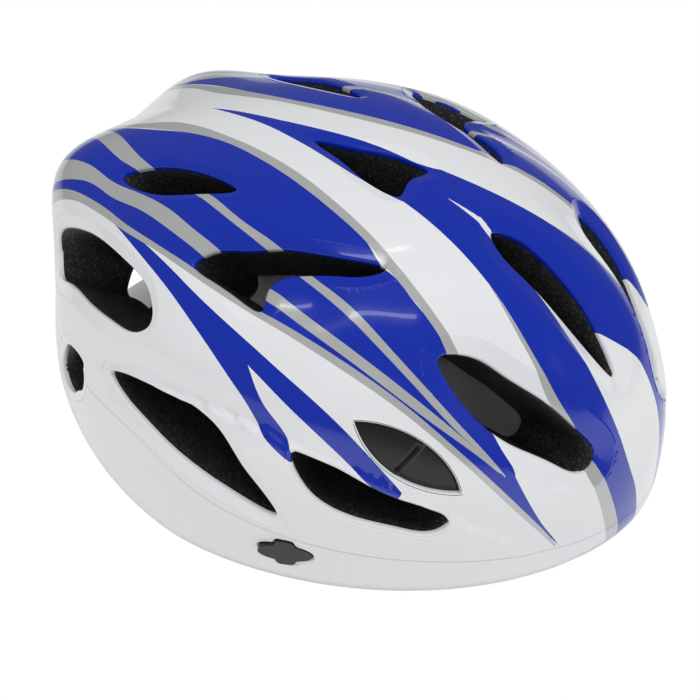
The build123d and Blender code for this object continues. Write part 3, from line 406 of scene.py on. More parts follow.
# square grid in angles from the crown: direction = (sin t * cos a, sin t * sin a, cos t)
def gridDirection(spots):
    polar = np.linalg.norm(spots, axis=1)
    scale = np.where(polar > 1e-9, np.sin(polar) / np.maximum(polar, 1e-9), 1.0)
    return np.stack([spots[:, 0] * scale, spots[:, 1] * scale, np.cos(polar)], -1)


# the same, backwards
def gridSpots(direction):
    polar = np.arccos(np.clip(direction[:, 2], -1, 1))
    flat = np.maximum(np.linalg.norm(direction[:, :2], axis=1), 1e-9)
    return direction[:, :2] * (polar / flat)[:, None]


# point of the skin = head centre + direction * radius
def shellPoint(spots, inset=0.0):
    direction = gridDirection(spots)
    return headCentre + direction * shellRadius(direction, inset)[:, None]


# cuts a triangle mesh where field falls below zero: new corners lie at the crossing of each edge
def clip(spots, faces, field):
    sign = field[faces] > 0
    kept = faces[sign.all(1)]
    count = len(spots)
    cut = faces[sign.any(1) & ~sign.all(1)]
    inside = field[cut] > 0
    single = inside.sum(1) == 1
    start = np.where(single, inside.argmax(1), (~inside).argmax(1))
    row = np.arange(len(cut))
    a, b, c = cut[row, start], cut[row, (start + 1) % 3], cut[row, (start + 2) % 3]
    pairs = np.sort(np.concatenate([np.stack([a, b], 1), np.stack([a, c], 1)]), 1)
    unique, back = np.unique(pairs, axis=0, return_inverse=True)
    back = back.reshape(-1)
    low, high = field[unique[:, 0]], field[unique[:, 1]]
    share = (low / (low - high))[:, None]
    crossing = spots[unique[:, 0]] * (1 - share) + spots[unique[:, 1]] * share
    first, second = back[:len(cut)] + count, back[len(cut):] + count
    one = np.stack([a, first, second], 1)[single]
    two = np.stack([first, b, c], 1)[~single]
    three = np.stack([first, c, second], 1)[~single]
    joined = np.concatenate([kept, one, two, three])
    allSpots = np.concatenate([spots, crossing])
    used, index = np.unique(joined, return_inverse=True)
    return allSpots[used], index.reshape(-1, 3)


# moves grid corners that lie close to the zero line onto it: step = -field * slope / slope squared
def snap(spots, fieldOf, size, share=0.33):
    field = fieldOf(spots)
    near = np.abs(field) < size
    step = 1e-4
    x = fieldOf(spots[near] + [step, 0])
    y = fieldOf(spots[near] + [0, step])
    slope = np.stack([x - field[near], y - field[near]], -1) / step
    steep = (slope ** 2).sum(1)
    move = -(field[near] / np.maximum(steep, 1e-9))[:, None] * slope
    closeEnough = np.abs(field[near]) < share * size
    moved = spots.copy()
    index = np.nonzero(near)[0][closeEnough]
    moved[index] += move[closeEnough]
    values = fieldOf(moved)
    values[index] = np.where(np.abs(values[index]) < 0.1 * size, 0.0, values[index])
    return moved, values


# square grid out to a polar angle, with diagonals turned from cell to cell;
# step in radians = spacing / mean radius of the helmet
def squareGrid(spacing, limit=2.08, meanRadius=125.0):
    step = spacing / meanRadius
    count = int(limit / step)
    line = np.arange(-count, count + 1) * step
    s, t = np.meshgrid(line, line, indexing="ij")
    spots = np.stack([s.ravel(), t.ravel()], -1)
    width = len(line)
    i, j = np.meshgrid(np.arange(width - 1), np.arange(width - 1), indexing="ij")
    a = (i * width + j).ravel()
    b, c, d = a + width, a + width + 1, a + 1
    flip = ((i + j) % 2 == 0).ravel()
    first = np.where(flip[:, None], np.stack([a, b, c], 1), np.stack([a, b, d], 1))
    second = np.where(flip[:, None], np.stack([a, c, d], 1), np.stack([b, c, d], 1))
    faces = np.concatenate([first, second])
    polar = np.linalg.norm(spots, axis=1)
    faces = faces[(polar[faces] < limit).all(1)]
    used, index = np.unique(faces, return_inverse=True)
    return spots[used], index.reshape(-1, 3)


# distance to the nearest edge: rim, arch and the openings with their cuts, positive in the material
def openField(points, rimLevel, stepBack, openings):
    field = np.minimum(points[:, 2] - rimLevel, archDistance(points) - stepBack)
    for opening, width in openings:
        field = np.minimum(field, ventDistance(points, opening) - width)
    return field


# the square grid, cut back from the rim, the arch and every opening
def cutGrid(spacing, inset, rimLevel, stepBack, openings):
    spots, faces = squareGrid(spacing)
    points = shellPoint(spots, inset)
    keep = points[:, 2] > -6
    faces = faces[keep[faces].all(1)]
    used, index = np.unique(faces, return_inverse=True)
    spots, faces = spots[used], index.reshape(-1, 3)

    def fieldOf(some):
        return openField(shellPoint(some, inset), rimLevel, stepBack, openings)

    spots, field = snap(spots, fieldOf, spacing)
    return clip(spots, faces, np.where(field == 0, 1e-9, field))


# each open edge's owner: the opening whose cut is nearest, or -1 for the rim and the arch
def edgeOwners(points, edges, rimLevel, stepBack, openings):
    ids = np.unique(edges)
    gap = np.minimum(np.abs(points[ids, 2] - rimLevel), np.abs(archDistance(points[ids]) - stepBack))
    owner = np.full(len(points), -1)
    best = gap
    for number, (opening, width) in enumerate(openings):
        distance = np.abs(ventDistance(points[ids], opening) - width)
        nearer = distance < best
        owner[ids[nearer]] = number
        best = np.minimum(best, distance)
    return owner[edges[:, 0]]


# follows open edges round once
def orderLoop(edges):
    following = dict(edges.tolist())
    first = edges[0, 0]
    loop = [first]
    while following[loop[-1]] != first:
        loop.append(following[loop[-1]])
    return np.array(loop)


# triangles between the wide skin's cut and a ring of the opening, merged in the order of their places
def zipper(points, edges, opening, ring):
    loop = orderLoop(edges)
    count = len(opening["line"])
    spots = planeSpots(points[loop], opening)[0]
    nearest = ((spots[:, None] - opening["line"][None]) ** 2).sum(2).argmin(1)
    along = ((spots - opening["line"][nearest]) * opening["run"][nearest]).sum(1) / opening["step"]
    place = nearest + np.clip(along, -0.5, 0.5)
    turns = np.diff(place, append=place[0])
    turns -= count * np.round(turns / count)
    if turns.sum() < 0:
        loop = loop[::-1]
        place = place[::-1]
        turns = np.diff(place, append=place[0])
        turns -= count * np.round(turns / count)
    place = np.concatenate([[place[0]], place[0] + np.cumsum(turns)])
    place = np.minimum(np.maximum.accumulate(place), place[0] + count)
    place[-1] = place[0] + count
    loop = np.append(loop, loop[0])
    last = np.ceil(place).astype(int) - 1
    one = np.stack([loop[:-1], loop[1:], ring[last[1:] % count]], 1)
    steps = np.arange(last[0] + 1, last[0] + 1 + count)
    back = loop[np.clip(np.searchsorted(place, steps, side="right") - 1, 0, len(loop) - 1)]
    two = np.stack([back, ring[steps % count], ring[(steps - 1) % count]], 1)
    return np.concatenate([one, two])


# quads between neighbouring rings of one opening, as triangles
def ringFaces(start, count, rings):
    near = start + np.arange(rings - 1)[:, None] * count + np.arange(count)[None]
    beside = start + np.arange(rings - 1)[:, None] * count + (np.arange(count)[None] + 1) % count
    a, b, c, d = near.ravel(), beside.ravel(), beside.ravel() + count, near.ravel() + count
    return np.concatenate([np.stack([a, b, c], 1), np.stack([a, c, d], 1)])


# open edges of a triangle mesh, in the order of their triangles
def openEdges(faces):
    edges = np.concatenate([faces[:, [0, 1]], faces[:, [1, 2]], faces[:, [2, 0]]])
    key = np.sort(edges, 1)
    _, first, count = np.unique(key, axis=0, return_index=True, return_counts=True)
    return edges[first[count == 1]]


# rows of quads that carry an open edge on: point + row offset
def strip(edges, rows, start):
    ids = np.unique(edges)
    place = np.full(ids.max() + 1, -1)
    place[ids] = np.arange(len(ids))
    quads = []
    for row in range(rows):
        near = edges if row == 0 else place[edges] + start + (row - 1) * len(ids)
        far = place[edges] + start + row * len(ids)
        quads.append(np.stack([near[:, 1], near[:, 0], far[:, 0], far[:, 1]], 1))
    return ids, np.concatenate(quads)


# a mesh from points in millimetres, with values and normals at its corners, riding on the helmet
def newPiece(name, points, faces, attributes=None, smooth=True, normals=None):
    mesh = bpy.data.meshes.new(name)
    polygons = [face.tolist() for face in faces] if isinstance(faces, list) else faces.tolist()
    mesh.from_pydata((np.asarray(points) * 0.001).tolist(), [], polygons)
    mesh.polygons.foreach_set("use_smooth", np.full(len(mesh.polygons), smooth))
    for key, values in (attributes or {}).items():
        layer = mesh.attributes.new(key, "FLOAT", "POINT")
        layer.data.foreach_set("value", np.asarray(values, np.float32))
    mesh.validate()
    mesh.update()
    if normals is not None:
        mesh.normals_split_custom_set_from_vertices(normals.tolist())
    piece = bpy.data.objects.new(name, mesh)
    bpy.context.scene.collection.objects.link(piece)
    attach(piece, "helmet")
    return piece


foamLook = dict(spacing=2.2, inset=1.3, stepBack=0.35, cut=3.4, round=2.2, socket=6.5, socketFade=2.5,
                wallRows=6, ribReach=11.0, ribPull=3.0, rimBlend=0.72, rimLevel=0.8)


# pull of a rib = fade with the gap * (pull / gap) squared
def ribWeight(gap):
    return (1 - smoothStep(gap / foamLook["ribReach"])) * (foamLook["ribPull"] / (gap + 1e-3)) ** 2


# point of the cavity's wall = head centre + direction * radius of the cavity's dome
def cavityPoint(direction):
    return headCentre + direction * domeRadius(direction, cavityForm)[:, None]


# point where the line from each point to its end meets the cavity, by halving
def towards(points, ends):
    low, high = np.zeros(len(points)), np.ones(len(points))
    for _ in range(26):
        middle = (low + high) / 2
        spot = points + (ends - points) * middle[:, None] - headCentre
        radius = np.linalg.norm(spot, axis=1)
        outside = radius > domeRadius(spot / np.maximum(radius, 1e-6)[:, None], cavityForm)
        low, high = np.where(outside, middle, low), np.where(outside, high, middle)
    return points + (ends - points) * low[:, None]


# polar angle at which a dome reaches height zero, by halving
def rimAngle(form, azimuth):
    low, high = np.full(len(azimuth), 1.2), np.full(len(azimuth), 2.4)
    for _ in range(30):
        polar = (low + high) / 2
        direction = gridDirection(np.stack([np.cos(azimuth) * polar, np.sin(azimuth) * polar], -1))
        radius = domeRadius(direction, form)
        above = headCentre[2] + radius * direction[:, 2] > 0
        low, high = np.where(above, polar, low), np.where(above, high, polar)
    return low


# inner point for an outer point: the cavity along each cone that is near, else straight below
def innerPoints(spots, points):
    polar = np.linalg.norm(spots, axis=1)
    azimuth = np.arctan2(spots[:, 1], spots[:, 0])
    ring = np.linspace(-np.pi, np.pi, 361)
    outer = np.interp(azimuth, ring, rimAngle(shellForm, ring))
    inner = np.interp(azimuth, ring, rimAngle(cavityForm, ring))
    start = foamLook["rimBlend"]
    polarIn = polar * (1 + (inner / outer - 1) * smoothStep((polar / outer - start) / (1 - start)))
    base = cavityPoint(gridDirection(np.stack([np.cos(azimuth) * polarIn, np.sin(azimuth) * polarIn], -1)))
    total = np.ones(len(points))
    blended = base.copy()
    for vent in vents:
        gap = np.maximum(ventDistance(points, vent) - foamLook["stepBack"] - foamLook["cut"], 0)
        near = gap < foamLook["ribReach"]
        if near.any():
            weight = ribWeight(gap[near])
            target = towards(points[near], np.broadcast_to(vent["apex"], (near.sum(), 3)))
            blended[near] += weight[:, None] * target
            total[near] += weight
    gap = np.maximum(archDistance(points) - foamLook["stepBack"], 0)
    near = gap < foamLook["ribReach"]
    if near.any():
        ends = points[near].copy()
        ends[:, 1] = 0
        weight = ribWeight(gap[near])
        blended[near] += weight[:, None] * towards(points[near], ends)
        total[near] += weight
    blended /= total[:, None]
    away = blended - headCentre
    away /= np.linalg.norm(away, axis=1)[:, None]
    return cavityPoint(away)


# rings of the foam round one vent: (offset, share of the way from the skin to the cavity)
def foamRings():
    back, width = foamLook["stepBack"], foamLook["round"]
    walls = [(back, share) for share in np.linspace(0.004, 0.93, foamLook["wallRows"])]
    turn = np.radians([25, 50, 72, 90])
    ends = [(back + width * (1 - np.cos(angle)), 0.93 + 0.07 * np.sin(angle)) for angle in turn]
    return [(back + width, 0.0), (back + 0.4, 0.0), *walls, *ends]


# an opening with half as many corners along its edge
def everySecond(opening):
    thinner = {key: opening[key][::2] for key in ("line", "run", "outward", "room")}
    return {**opening, **thinner, "step": opening["step"] * 2}


# liner: skin and cavity joined by rings down each vent's cone and by walls at the rim and the arch
def makeFoam():
    inset, level, back = foamLook["inset"], foamLook["rimLevel"], foamLook["stepBack"]
    openings = [(everySecond(vent), back + foamLook["cut"]) for vent in vents]
    spots, faces = cutGrid(foamLook["spacing"], inset, level, back, openings)
    outer = shellPoint(spots, inset)
    for socket in sockets:
        sunk = foamLook["socket"] * smoothStep(1 - ventDistance(outer, socket) / foamLook["socketFade"])
        outer = outer - surfaceNormal(spots, inset) * sunk[:, None]
    inner = innerPoints(spots, outer)
    inner[:, 2] = np.maximum(inner[:, 2], level)
    count = len(outer)
    edges = openEdges(faces)
    owner = edgeOwners(outer, edges, level, back, openings)
    points, polygons = [outer, inner], [faces, faces[:, ::-1] + count]
    total = 2 * count
    rings = foamRings()
    for number, (vent, width) in enumerate(openings):
        ends = np.broadcast_to(vent["apex"], (len(vent["line"]), 3))
        pairs = {}
        for offset, share in rings:
            if offset not in pairs:
                top, run = coneRing(vent, offset, inset)
                pairs[offset] = (top - run * lipDrop(vent, offset), towards(top, ends))
            top, bottom = pairs[offset]
            points.append(top + (bottom - top) * share)
        size = len(vent["line"])
        polygons.append(ringFaces(total, size, len(rings)))
        ring = total + np.arange(size)
        outerBand = zipper(outer, edges[owner == number], vent, ring)
        innerBand = outerBand[:, ::-1] + np.where(outerBand[:, ::-1] < count, count, (len(rings) - 1) * size)
        polygons += [outerBand, innerBand]
        total += len(rings) * size
    free = edges[owner < 0]
    rows = foamLook["wallRows"]
    ids, quads = strip(free, rows, total)
    walls = [outer[ids] + (inner[ids] - outer[ids]) * (row + 1) / rows for row in range(rows - 1)]
    place = np.arange(total + rows * len(ids))
    place[total + (rows - 1) * len(ids):] = ids + count          # the last row is the cavity's own edge
    quads = place[quads]
    polygons += [quads[:, [0, 1, 2]], quads[:, [0, 2, 3]]]
    return newPiece("foamLiner", np.concatenate(points + walls), np.concatenate(polygons))


# unit normal = cross product of the skin's steps along the grid's two ways
def surfaceNormal(spots, inset=0.0):
    step = 2e-3
    a = shellPoint(spots + [step, 0], inset) - shellPoint(spots - [step, 0], inset)
    b = shellPoint(spots + [0, step], inset) - shellPoint(spots - [0, step], inset)
    normal = np.cross(a, b)
    normal /= np.linalg.norm(normal, axis=1)[:, None]
    outward = (normal * (shellPoint(spots) - headCentre)).sum(1)
    return normal * np.sign(outward)[:, None]


# rolled edge, a quarter ellipse: drop * (1 - square root of (1 - (1 - distance / width) squared))
def roundOff(distance, width, drop):
    return drop * (1 - np.sqrt(1 - np.clip(1 - distance / width, 0, 1) ** 2))


# height of the seam at y, along its smooth curve
def seamHeight(y):
    curve = openCurve(seamLine, 400)
    return np.interp(y, curve[:, 0], curve[:, 1])


# the decal's outlines, in angles on one side; the other side is its mirror image
blueSide = [(139.1, 9.1), (126.9, 9.5), (118.9, 9.2), (109.3, 9.7), (99.4, 11.5), (86.9, 14.2), (78.4, 15.7),
            (71.9, 16.6), (66.9, 17.9), (62.0, 19.6), (57.9, 20.0), (52.5, 20.9), (46.0, 21.3), (40.8, 21.9),
            (33, 22), (23.8, 23.0), (18.4, 22.9), (18.8, 25.8), (26.6, 29.1),
            (39.9, 33.2), (53, 36.7), (62.8, 38.6), (79, 40.3), (94, 39.6), (107, 37.3), (120, 33.9),
            (131, 29.3), (140, 25), (152, 22), (164, 22), (170, 17), (168, 9), (156, 8), (147, 8.5)]
centreEdge = [(127.5, -0.6), (120, 0.2), (104.6, 1.6), (96.1, 3.0), (81.0, 5.4), (68.0, 6.2), (56.2, 7.9),
              (46.5, 9.7), (36.0, 11.6), (26.9, 12.4), (20.7, 11.6), (13.1, 10.4), (5.8, 8.6), (-4, 6.1),
              (-16, 4.5)]
spearEdge = [(62.5, 0.0), (57.1, 0.7), (50.6, 1.6), (43.4, 2.8), (35.7, 4.0), (27.0, 5.0), (19.1, 5.4),
             (10.3, 4.9), (4.0, 3.5), (-4, 2.2), (-16, 1.5)]
spearCut = (chart(aim([(27.0, 3.0)]))[0], np.array([-0.85, -0.53]))
insertLook = dict(clearance=0.15, sink=1.2, step=1.1, stepAt=0.6, stepRun=1.2, groove=1.8, grooveHalf=0.8,
                  grooveEnd=0.82, edge=0.7, edgeDrop=0.5, body=3.0, columns=121, rows=25)


# pointed oval laid on the skin: place = skin at (x, t * half width of the oval at x) - socket's axis * sink,
# with sink = level + rolled edge + step beyond the middle + groove across it
def makeInsert(socket, name):
    look = insertLook
    long, wide = (half - look["clearance"] for half in pockets["leafHalf"])
    radius = (long ** 2 + wide ** 2) / (2 * wide)
    x, t = np.meshgrid((long - 0.3) * np.sin(np.linspace(-np.pi / 2, np.pi / 2, look["columns"])),
                       np.sin(np.linspace(-np.pi / 2, np.pi / 2, look["rows"])), indexing="ij")
    half = np.sqrt(radius ** 2 - x ** 2) - radius + wide
    spots = np.stack([x, t * half], -1).reshape(-1, 2)
    level = dict(socket, line=spots, outward=np.zeros_like(spots), room=np.full(len(spots), 1e9), width=1.0)
    skin = coneRing(level, np.zeros(len(spots)), 0.0)[0]
    edge = np.clip(1 - (1 - np.abs(t)) * half / look["edge"], 0, 1)
    beyond = smoothStep((x - look["stepAt"]) / look["stepRun"])
    ditch = smoothStep((look["grooveHalf"] + 0.3 - np.abs(x)) / 0.4)
    ditch = ditch * smoothStep((look["grooveEnd"] - np.abs(t)) / 0.06)
    sink = look["sink"] + look["edgeDrop"] * (1 - np.sqrt(1 - edge ** 2)) + look["step"] * beyond
    sink = sink + look["groove"] * ditch
    low = look["sink"] + look["step"] + look["body"]
    top = skin - sink.reshape(-1, 1) * socket["ray"]
    bottom = skin - low * socket["ray"]
    columns, rows = x.shape
    loops = np.concatenate([top.reshape(columns, rows, 3), bottom.reshape(columns, rows, 3)[:, ::-1]], 1)
    turn = 2 * rows
    near = np.arange(columns - 1)[:, None] * turn + np.arange(turn)[None]
    beside = np.arange(columns - 1)[:, None] * turn + (np.arange(turn)[None] + 1) % turn
    quads = np.stack([near, near + turn, beside + turn, beside], -1).reshape(-1, 4)
    # the two ends: rungs between the upper and the lower row
    rung = np.arange(rows - 1)
    first = np.stack([rung, rung + 1, turn - 2 - rung, turn - 1 - rung], 1)
    last = first[:, ::-1] + (columns - 1) * turn
    return newPiece(name, loops.reshape(-1, 3), np.concatenate([quads, first, last]))


bands = dict(
    crest=([(146, 7.5), (134.3, 7.6), (126.0, 6.4), (118.2, 6.9), (112.4, 7.8), (101.2, 9.4), (89.1, 11.6),
            (78.3, 14.0), (66.8, 16.4), (55.3, 18.8), (45.4, 20.2), (40.7, 20.6), (36, 20.4)],
           [(148, 9.5), (139.1, 9.1), (126.9, 9.3), (118.9, 9.3), (109.3, 10.0), (99.4, 11.7), (86.9, 14.2),
            (78.4, 15.9), (66.9, 18.0), (57.9, 20.0), (46.0, 21.6), (40.8, 22.3), (36, 22.5)]),
    stripe=([(166, 9), (154, 8.6), (140.5, 9.6), (122.5, 19.2), (103.5, 23.7), (90.7, 27.0), (80.3, 28.0),
             (70.4, 29.1), (60.2, 28.9), (46.5, 28.9), (33.9, 27.5), (19.5, 24.1)],
            [(168, 11), (156, 10.8), (143.1, 11.5), (128.4, 19.3), (106.5, 24.6), (92.2, 28.2), (82.9, 29.6),
             (72.5, 30.5), (60.9, 30.5), (44.9, 30.0), (32.4, 28.3), (19.5, 24.3)]),
    wide=([(165, 15), (154, 15.5), (143.8, 17.3), (136.7, 19.6), (129.0, 23.7), (119.4, 26.5), (109.7, 29.2),
           (99.8, 32.2), (91.7, 33.8), (76.1, 35.2), (66.6, 35.2), (54.1, 33.8), (38.5, 30.4), (20.4, 24.6)],
          [(166, 20), (154, 20.2), (141.5, 21.9), (136.1, 23.1), (127.2, 27.3), (116.8, 30.3), (104.6, 33.9),
           (94.7, 36.1), (72.6, 37.4), (64.7, 37.0), (52.1, 35.2), (36.7, 31.4), (20.4, 24.8)]),
    lower=([(170, 22), (152, 21.5), (140.2, 24.1), (131.3, 28.0), (119.6, 33.3), (107.7, 36.7), (94.1, 39.0),
            (79.7, 39.9), (63.4, 38.1), (53.7, 36.2), (40.4, 32.8), (27.1, 28.9), (12.6, 23.3), (1.0, 17.9)],
           [(170, 24), (152, 23.8), (139.5, 26.1), (130.2, 30.2), (120.0, 34.5), (106.8, 38.0), (93.5, 40.3),
            (78.5, 41.0), (62.2, 39.2), (52.5, 37.3), (39.4, 33.7), (26.2, 29.6), (11.7, 23.9), (0.2, 18.0)]),
    front=([(47, 9.6), (36.0, 11.6), (32.3, 12.0), (26.7, 12.2), (20.7, 11.5), (13.1, 10.3), (5.8, 8.6),
            (-4, 6.1), (-16, 4.5)],
           [(47, 9.6), (38.1, 11.9), (33.4, 12.6), (27.5, 13.5), (20.3, 13.0), (12.2, 12.1), (3.7, 10.3),
            (-6, 8), (-16, 6)]),
)


# blue strips between two edges: a dart with a notch in it, and the point at the brow
darts = dict(
    dart=([(126, 31.8), (115, 35.7), (104, 39.4), (88, 43.4), (64, 45), (43, 43), (25, 40), (19, 38.5)],
          [(126, 31.8), (114, 38.0), (93, 46), (64, 53), (49, 55), (41, 54), (33, 51), (22, 44.5)]),
    notch=([(68, 48), (53, 48), (37, 46), (24, 43), (19, 41.5)],
           [(68, 48), (59, 51), (47, 52), (41, 53), (33, 50.2), (21, 43.5)]),
    tip=([(33, 22.4), (23.8, 23.0), (17.2, 22.6), (8.5, 20.7), (0.3, 17.3)],
         [(39.9, 33.2), (26.6, 29.1), (12, 23.4), (5.5, 20.2), (0.3, 17.3)]),
)


# distance past a band's ends, positive between them
def endDistance(spots, first, second):
    result = np.full(len(spots), 1e9)
    for end, inner in ((0, 6), (-1, -7)):
        middle = (first[end] + second[end]) / 2
        way = (first[inner] + second[inner]) / 2 - middle
        result = np.minimum(result, (spots - middle) @ way / np.linalg.norm(way))
    return result


# values that are positive inside a colour; x tells the two sides apart where they differ
def decalValues(direction, x):
    spots = chart(direction)
    spots[:, 0] = np.abs(spots[:, 0])
    lines = {}

    def charted(outline, closed):
        line = chart(aim(outline))
        return closedCurve(line, 200) if closed else openCurve(line, 90)

    side = -outlineDistance(spots, charted(blueSide, True))
    centre = -outlineDistance(spots, np.concatenate([charted(centreEdge, False), [[-60, -125], [-60, 30]]]))
    spear = -outlineDistance(spots, np.concatenate([charted(spearEdge, False), [[-60, -125], [-60, -20]]]))
    # the spear is short on the left side
    spear = np.where(x > 0, np.minimum(spear, (spots - spearCut[0]) @ spearCut[1]), spear)
    lines["blue"] = np.maximum(side, np.minimum(centre, -spear))
    for key, (upper, lower) in {**bands, **darts}.items():
        first, second = charted(upper, False), charted(lower, False)
        lines[key + "Upper"] = sideDistance(spots, first)
        lines[key + "Lower"] = -sideDistance(spots, second)
        lines[key + "Ends"] = endDistance(spots, first, second)
    return lines


# a skin with its inner side and closed edges: inner = skin - normal * wall
def thicken(points, faces, normals, wall):
    count = len(points)
    edges = openEdges(faces)
    a, b = edges.T
    sides = np.concatenate([np.stack([b, a, a + count], 1), np.stack([b, a + count, b + count], 1)])
    return (np.concatenate([points, points - normals * wall]),
            np.concatenate([faces, faces[:, ::-1] + count, sides]), np.concatenate([normals, -normals]))


shellLook = dict(spacing=2.3, wall=0.7, rimWidth=2.4, rimDrop=1.0, rimDepth=3.4, seamGap=0.22)
# (share of the band's width, turn of the roll) of the rings round an opening
lipRings = [(1.0, None), (0.93, None), (0.45, None)]
lipRings += [(None, turn) for turn in np.radians([0, 28, 52, 73, 90])]


# both shells: skin with lips round its openings, moved in by drop along its normal, cut at the seam
def makeShells():
    openings = [(opening, opening["cut"]) for opening in vents + sockets]
    spots, faces = cutGrid(shellLook["spacing"], 0.0, 0.0, 0.0, openings)
    grid = shellPoint(spots)
    edges = openEdges(faces)
    owner = edgeOwners(grid, edges, 0.0, 0.0, openings)
    skins, drops, leans = [grid], [np.zeros(len(grid))], [np.zeros((len(grid), 3))]
    walls, polygons = [], [faces]
    total = len(grid)
    for number, (opening, width) in enumerate(openings):
        size = len(opening["line"])
        inner = coneRing(opening, 0.0, 0.0)[0]
        towardsHole = inner - coneRing(opening, opening["width"], 0.0)[0]
        towardsHole /= np.linalg.norm(towardsHole, axis=1)[:, None]
        slope = opening["drop"] / opening["width"]
        for share, turn in lipRings:
            offset = opening["width"] * share if turn is None else opening["roll"] * (1 - np.sin(turn))
            ring, run = coneRing(opening, offset, 0.0)
            skins.append(ring)
            drops.append(np.full(size, lipDrop(opening, offset)))
            # lean of the normal: slope of the band, and of the roll's quarter ellipse
            if turn is None:
                lean = 0.0 if share == 1 else slope
            else:
                lean = slope + opening["rollDrop"] / opening["roll"] * np.tan(min(turn, 1.45))
            leans.append(towardsHole * lean)
        polygons.append(ringFaces(total, size, len(lipRings)))
        polygons.append(zipper(grid, edges[owner == number], opening, total + np.arange(size)))
        last = total + (len(lipRings) - 1) * size
        walls.append((last + np.arange(size), -run, opening["depth"], towardsHole))
        total += len(lipRings) * size
    points = np.concatenate(skins)
    push = np.concatenate(drops)
    direction = points - headCentre
    direction /= np.linalg.norm(direction, axis=1)[:, None]
    normal = surfaceNormal(gridSpots(direction))
    free = edges[owner < 0]
    rim, gap = points[:, 2].copy(), archDistance(points)
    ids = np.unique(free)
    atRim = rim[ids] < gap[ids]
    rim[ids[atRim]] = 0
    gap[ids[~atRim]] = 0
    edge = np.minimum(rim, gap)
    push = push + roundOff(edge, shellLook["rimWidth"], shellLook["rimDrop"])
    shaped = points - normal * push[:, None]
    shading = normal + np.concatenate(leans)
    ends = np.stack([points[ids, 0], np.zeros(len(ids)), points[ids, 2]], -1)
    ends[atRim] = points[ids[atRim]] * [0, 0, 1]
    inwards = ends - points[ids]
    inwards /= np.linalg.norm(inwards, axis=1)[:, None]
    outwards = np.where(atRim[:, None], [0.0, 0.0, -1.0], [0.0, 0.0, 0.0])
    outwards[~atRim] = -archSlope(points[ids[~atRim]])
    # near the rim and the arch the normal turns with the roll
    turn = np.clip(1 - edge / shellLook["rimWidth"], 0, 1)
    rolled = np.where((rim < gap)[:, None], [0.0, 0.0, -1.0], -archSlope(points))
    lean = shellLook["rimDrop"] / shellLook["rimWidth"] * turn / np.sqrt(1.02 - turn ** 2)
    shading = shading + rolled * lean[:, None]
    rows = 3
    ids, quads = strip(free, rows, total)
    polygons += [quads[:, [0, 1, 2]], quads[:, [0, 2, 3]]]
    spread, source, shadings = [shaped], [np.arange(total)], [shading]
    for row in range(rows):
        spread.append(shaped[ids] + inwards * shellLook["rimDepth"] * (row + 1) / rows)
        source.append(ids)
        shadings.append(outwards)
        total += len(ids)
    for edge, run, depth, facing in walls:
        size = len(edge)
        near = np.concatenate([edge, total + np.arange(2 * size)])
        polygons.append(near[ringFaces(0, size, 3)])
        for share in (0.5, 1.0):
            spread.append(shaped[edge] + run * depth * share)
            source.append(edge)
            shadings.append(facing)
        total += 2 * size
    allPoints, source, triangles = np.concatenate(spread), np.concatenate(source), np.concatenate(polygons)
    shading = np.concatenate(shadings)
    length = np.linalg.norm(shading, axis=1)
    shading = np.where(length[:, None] > 1e-3, shading / np.maximum(length, 1e-3)[:, None], [0.0, 0.0, -1.0])
    values = {key: line[source] for key, line in decalValues(direction, points[:, 0]).items()}
    field = (points[:, 2] - seamHeight(points[:, 1]))[source]
    pieces = []
    for name, sign, node in (("upperShell", 1, "upper_shell"), ("lowerShell", -1, "lower_shell")):
        packed = np.concatenate([allPoints, shading] + [line[:, None] for line in values.values()], 1)
        cutPoints, cutFaces = clip(packed, triangles, sign * field - shellLook["seamGap"] / 2)
        normals = cutPoints[:, 3:6] / np.maximum(np.linalg.norm(cutPoints[:, 3:6], axis=1), 1e-3)[:, None]
        skin, skinFaces, normals = thicken(cutPoints[:, :3], cutFaces, normals, shellLook["wall"])
        piece = newPiece(name, skin, skinFaces,
                         {key: np.tile(cutPoints[:, 6 + index], 2) for index, key in enumerate(values)},
                         normals=normals)
        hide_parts(node)
        pieces.append(piece)
    return pieces


# a material with its nodes, links and main shader
def newMaterial(name):
    material = bpy.data.materials.new(name)
    material.use_nodes = True
    tree = material.node_tree
    return material, tree.nodes, tree.links, tree.nodes["Principled BSDF"]


# a value stored at the mesh's corners
def attribute(nodes, name):
    node = nodes.new("ShaderNodeAttribute")
    node.attribute_name = name
    return node.outputs["Fac"]


# one step of arithmetic on sockets or plain numbers
def math(nodes, links, kind, a, b=None):
    node = nodes.new("ShaderNodeMath")
    node.operation = kind
    for socket, value in zip(node.inputs, (a, b)):
        if value is None:
            continue
        if isinstance(value, (int, float)):
            socket.default_value = value
        else:
            links.new(value, socket)
    return node.outputs[0]


# first colour + factor * (second - first)
def mixColour(nodes, links, factor, first, second):
    node = nodes.new("ShaderNodeMix")
    node.data_type = "RGBA"
    links.new(factor, node.inputs["Factor"])
    for socket, value in ((node.inputs["A"], first), (node.inputs["B"], second)):
        if isinstance(value, tuple):
            socket.default_value = (*value, 1)
        else:
            links.new(value, socket)
    return node.outputs["Result"]


paintLook = dict(blue=(0.0006, 0.020, 0.36), white=(0.74, 0.75, 0.77), silver=(0.47, 0.48, 0.48),
                 roughness=0.16, coat=0.6, coatRoughness=0.02, silverMetal=0.25)


